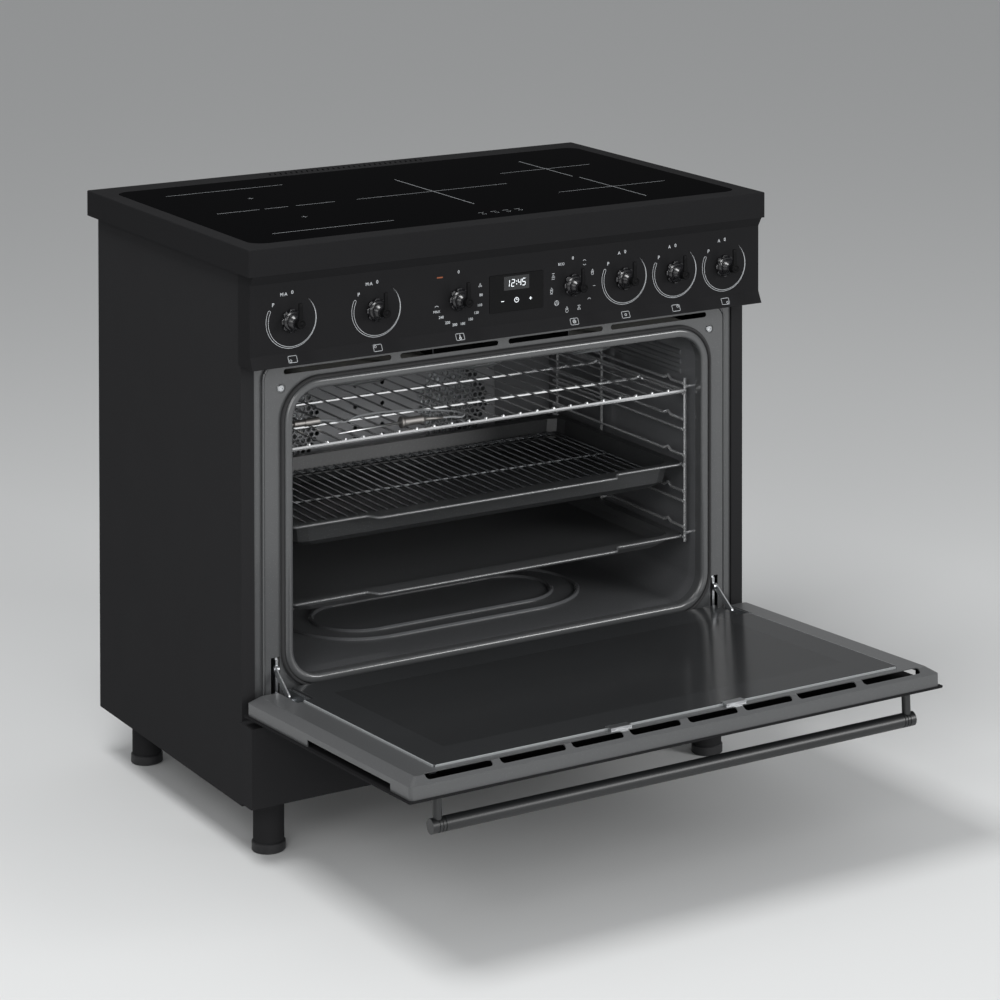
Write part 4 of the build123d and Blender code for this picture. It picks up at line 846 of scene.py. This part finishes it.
# each roll takes the paler enamel, a painted highlight along the tray's front
for name, body, height in trayRolls["trays"]:
    roll = makePiece(name + "Roll", [trayRoll(height)], body, rollHighlightEnamel)
print("rims rolled")

# The perforated cover before the fans: cells of 10 by 8.66 in brick rows, each with a punched hole or none
fanCover = dict(
    face=197.0,
    cell=10.0,
    row=8.66,
    columns=45,
    rows=32,
    middle=441.0,
    hole=3.5,
    fan=(156.0, 508.0),
    field=66.0,
    # two upright lines of holes between the fans: distance from the middle, half width and reach in rows
    line=25.0,
    lineHalf=3.0,
    lineRows=6,
    # rings round a hole, as how much wider they are than it and how far behind the face
    lip=[(0.5, 0.0), (0.0, 0.5), (-0.1, 1.6)],
    # the skirt's half width, half height and depth behind the face, and the power that rounds its corners
    power=9,
    outline=[(236, 156, 0.0), (238, 158, 0.7), (240, 160, 4.0), (241.5, 161.5, 10.0), (243, 163, 32.0)],
)


def coverCells():
    # one cell's outline, the cells' middles (x = cell x column, half a cell on in odd rows) and the punched ones
    c = fanCover
    w, h = c["cell"] / 2, c["row"] / 2
    square = np.array([(-w, -h), (0, -h), (w, -h), (w, 0), (w, h), (0, h), (-w, h), (-w, 0)])
    row = np.arange(c["rows"])[:, None]
    z = c["middle"] + (row - (c["rows"] - 1) / 2) * c["row"] + 0 * np.arange(c["columns"])
    x = (np.arange(c["columns"]) - (c["columns"] - 1) / 2) * c["cell"] + 0 * row
    odd = np.broadcast_to(row % 2 == 1, x.shape)
    inRow = ~odd | (np.arange(c["columns"]) < c["columns"] - 1)
    x, z = (x + w * odd)[inRow], z[inRow]
    field = np.hypot(np.abs(x) - c["fan"][0], z - c["fan"][1]) < c["field"]
    pitch = np.round((z - c["fan"][1]) / c["row"]).astype(int)
    line = (np.abs(np.abs(x) - c["line"]) < c["lineHalf"]) & (np.abs(pitch) <= c["lineRows"])
    return square, np.stack([x, z], 1), field | line


def coverSurface():
    c = fanCover
    square, place, punched = coverCells()

    def sheet(flat, depth):
        away = c["face"] + np.broadcast_to(depth, flat[..., 0].shape)
        return np.stack([flat[..., 0], away, flat[..., 1]], -1)

    def whole(cells):
        # each cell is one flat face
        return sheet(cells, 0.0).reshape(-1, 3), np.arange(cells.size // 2).reshape(cells.shape[:2])

    # a punched cell is four rings of points: its square and the three of the lip
    turn = np.arctan2(square[:, 1], square[:, 0])
    spokes = np.stack([np.cos(turn), np.sin(turn)], 1)
    middle = place[punched][:, None]
    rings = [sheet(middle + square, 0.0)]
    rings += [sheet(middle + spokes * (c["hole"] + wider), behind) for wider, behind in c["lip"]]
    rings = np.stack(rings, 1)
    count, corners = rings.shape[1:3]
    quads = gridFaces(count, corners, wrapColumns=True).reshape(count - 1, corners, 4)
    first = np.arange(len(rings))[:, None, None, None] * count * corners
    parts = [whole(place[~punched][:, None] + square)]
    parts.append((rings.reshape(-1, 3), (quads[None, :1] + first).reshape(-1, 4)))
    # the countersink and wall rings go apart, to be drawn dark as painted shade in the holes
    walls = [(rings.reshape(-1, 3) / 1000, (quads[None, 1:] + first).reshape(-1, 4))]
    # half cells fill the brick rows' ends
    w, h = c["cell"] / 2, c["row"] / 2
    half = np.array([(-w / 2, -h), (w / 2, -h), (w / 2, 0), (w / 2, h), (-w / 2, h), (-w / 2, 0)])
    oddRows = c["middle"] + (np.arange(1, c["rows"], 2) - (c["rows"] - 1) / 2) * c["row"]
    edge = c["columns"] * w - w / 2
    ends = np.concatenate([np.stack([0 * oddRows + s * edge, oddRows], 1) for s in (-1, 1)])[:, None] + half
    parts.append(whole(ends))
    # the skirt: loops that grow from the cells' rectangle to |x/a|^p + |z/b|^p = 1, back to the oven's wall
    turn = np.linspace(0, 2 * np.pi, 192, endpoint=False)
    cs, sn = np.cos(turn), np.sin(turn)
    a, b = c["columns"] * w, c["rows"] * h  # half the cells' rectangle
    reach = np.minimum(a / np.maximum(np.abs(cs), 1e-9), b / np.maximum(np.abs(sn), 1e-9))
    loops = [np.stack([cs * reach, c["face"] + 0 * cs, c["middle"] + sn * reach], 1)]
    for halfX, halfZ, back in c["outline"]:
        size = (np.abs(cs / halfX) ** c["power"] + np.abs(sn / halfZ) ** c["power"]) ** (-1 / c["power"])
        loops.append(np.stack([cs * size, c["face"] + back + 0 * cs, c["middle"] + sn * size], 1))
    loops = np.array(loops)
    parts.append((loops.reshape(-1, 3), gridFaces(len(loops), len(turn), wrapColumns=True)[:, ::-1]))
    return [(p / 1000, f) for p, f in parts], walls


coverSheet, coverWalls = coverSurface()
cover = makePiece("fanCover", coverSheet, "range", coverEnamelPaintedLight, smooth=False)
# painted shade: the holes' countersinks and walls take the dark tray enamel
shadedPunchedEdges = makePiece("fanCoverPunchedEdgesPaintedShade", coverWalls, "range", trayEnamel, smooth=False)
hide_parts("fan_cover")
print("fan cover punched")

# The food probe: place along X and radius, in millimetres, on a line that bends a little towards the lead
probe = dict(
    y=-197.0,
    needle=[(-255, 0.0), (-254.4, 0.7), (-247, 2.0), (-150, 2.0), (-150, 0.0)],
    grip=[
        (-150.4, 0.0), (-150.4, 6.4), (-150, 8.2), (-149, 9.1), (-147, 9.1), (-146, 8.0),
        (-145.4, 6.5), (-142, 6.9), (-127, 6.3), (-113, 6.9), (-111.6, 6.3), (-111, 4.2),
        (-104, 3.2), (-92, 2.6), (-77, 2.1), (-77, 0.0),
    ],
    line=[(-255, 592.2), (-150, 595.0), (-111, 595.0), (-77, 592.9)],
)


def turned(profile):
    # every ring has its centre on the probe's line: (x, y + r cos a, z(x) + r sin a)
    profile = np.array(profile, float)
    turn = np.linspace(0, 2 * np.pi, 28, endpoint=False)
    line = np.array(probe["line"])
    x, r = profile[:, :1], profile[:, 1:]
    z = np.interp(x, line[:, 0], line[:, 1])
    points = np.stack([x + 0 * turn, probe["y"] + r * np.cos(turn), z + r * np.sin(turn)], -1)
    return points.reshape(-1, 3) / 1000, gridFaces(len(profile), len(turn), wrapColumns=True)


needle = makePiece("probeNeedle", [turned(probe["needle"])], "wire_shelf", needleSteel)
grip = makePiece("probeGrip", [turned(probe["grip"])], "wire_shelf", gripSteel)
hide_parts("food_probe")
print("probe turned")

# Floor and light
floorMaterial = newMaterial("paleFloor", "#dcdddd", 0.8, Specular_IOR_Level=0.1)[0]
floorSize = 40.0
floorMesh = bpy.data.meshes.new("floor")
corners = np.array([(-1, -1, 0), (1, -1, 0), (1, 1, 0), (-1, 1, 0)]) * (floorSize, floorSize, 1.0)
floorMesh.from_pydata(corners.tolist(), [], [(0, 1, 2, 3)])
floorMesh.materials.append(floorMaterial)
floor = bpy.data.objects.new("floor", floorMesh)
bpy.context.scene.collection.objects.link(floor)

world = bpy.data.worlds.new("studio")
bpy.context.scene.world = world
world.use_nodes = True
background = world.node_tree.nodes["Background"]
background.inputs["Color"].default_value = linear("#d0d1d2")
background.inputs["Strength"].default_value = 0.6


def softBox(name, place, target, size, power):
    # a rectangular lamp, turned to face its target
    data = bpy.data.lights.new(name, "AREA")
    data.shape, data.size, data.size_y, data.energy = "RECTANGLE", size[0], size[1], power
    lamp = bpy.data.objects.new(name, data)
    lamp.location = place
    lamp.rotation_euler = (Vector(target) - Vector(place)).to_track_quat("-Z", "Y").to_euler()
    bpy.context.scene.collection.objects.link(lamp)


# place, the point that it faces, size in metres and power in watts
lamps = dict(
    keyLight=((-2.9, -3.2, 2.6), (0, 0, 0.6), (1.4, 1.4), 40),
    leftStrip=((-3.3, -0.65, 1.6), (0, -0.3, 0.8), (1.0, 0.8), 8),
    frontLight=((-0.9, -4.4, 0.9), (0, 0, 0.45), (2.2, 1.2), 40),
    rightLight=((2.6, -4.2, 1.9), (0, 0, 0.5), (1.6, 1.6), 95),
    topLight=((-1.3, -0.5, 3.4), (0, -0.3, 0.7), (1.3, 1.1), 55),
)
for name, lamp in lamps.items():
    softBox(name, *lamp)
bpy.context.scene.view_settings.view_transform = "Standard"
print("stage lit")
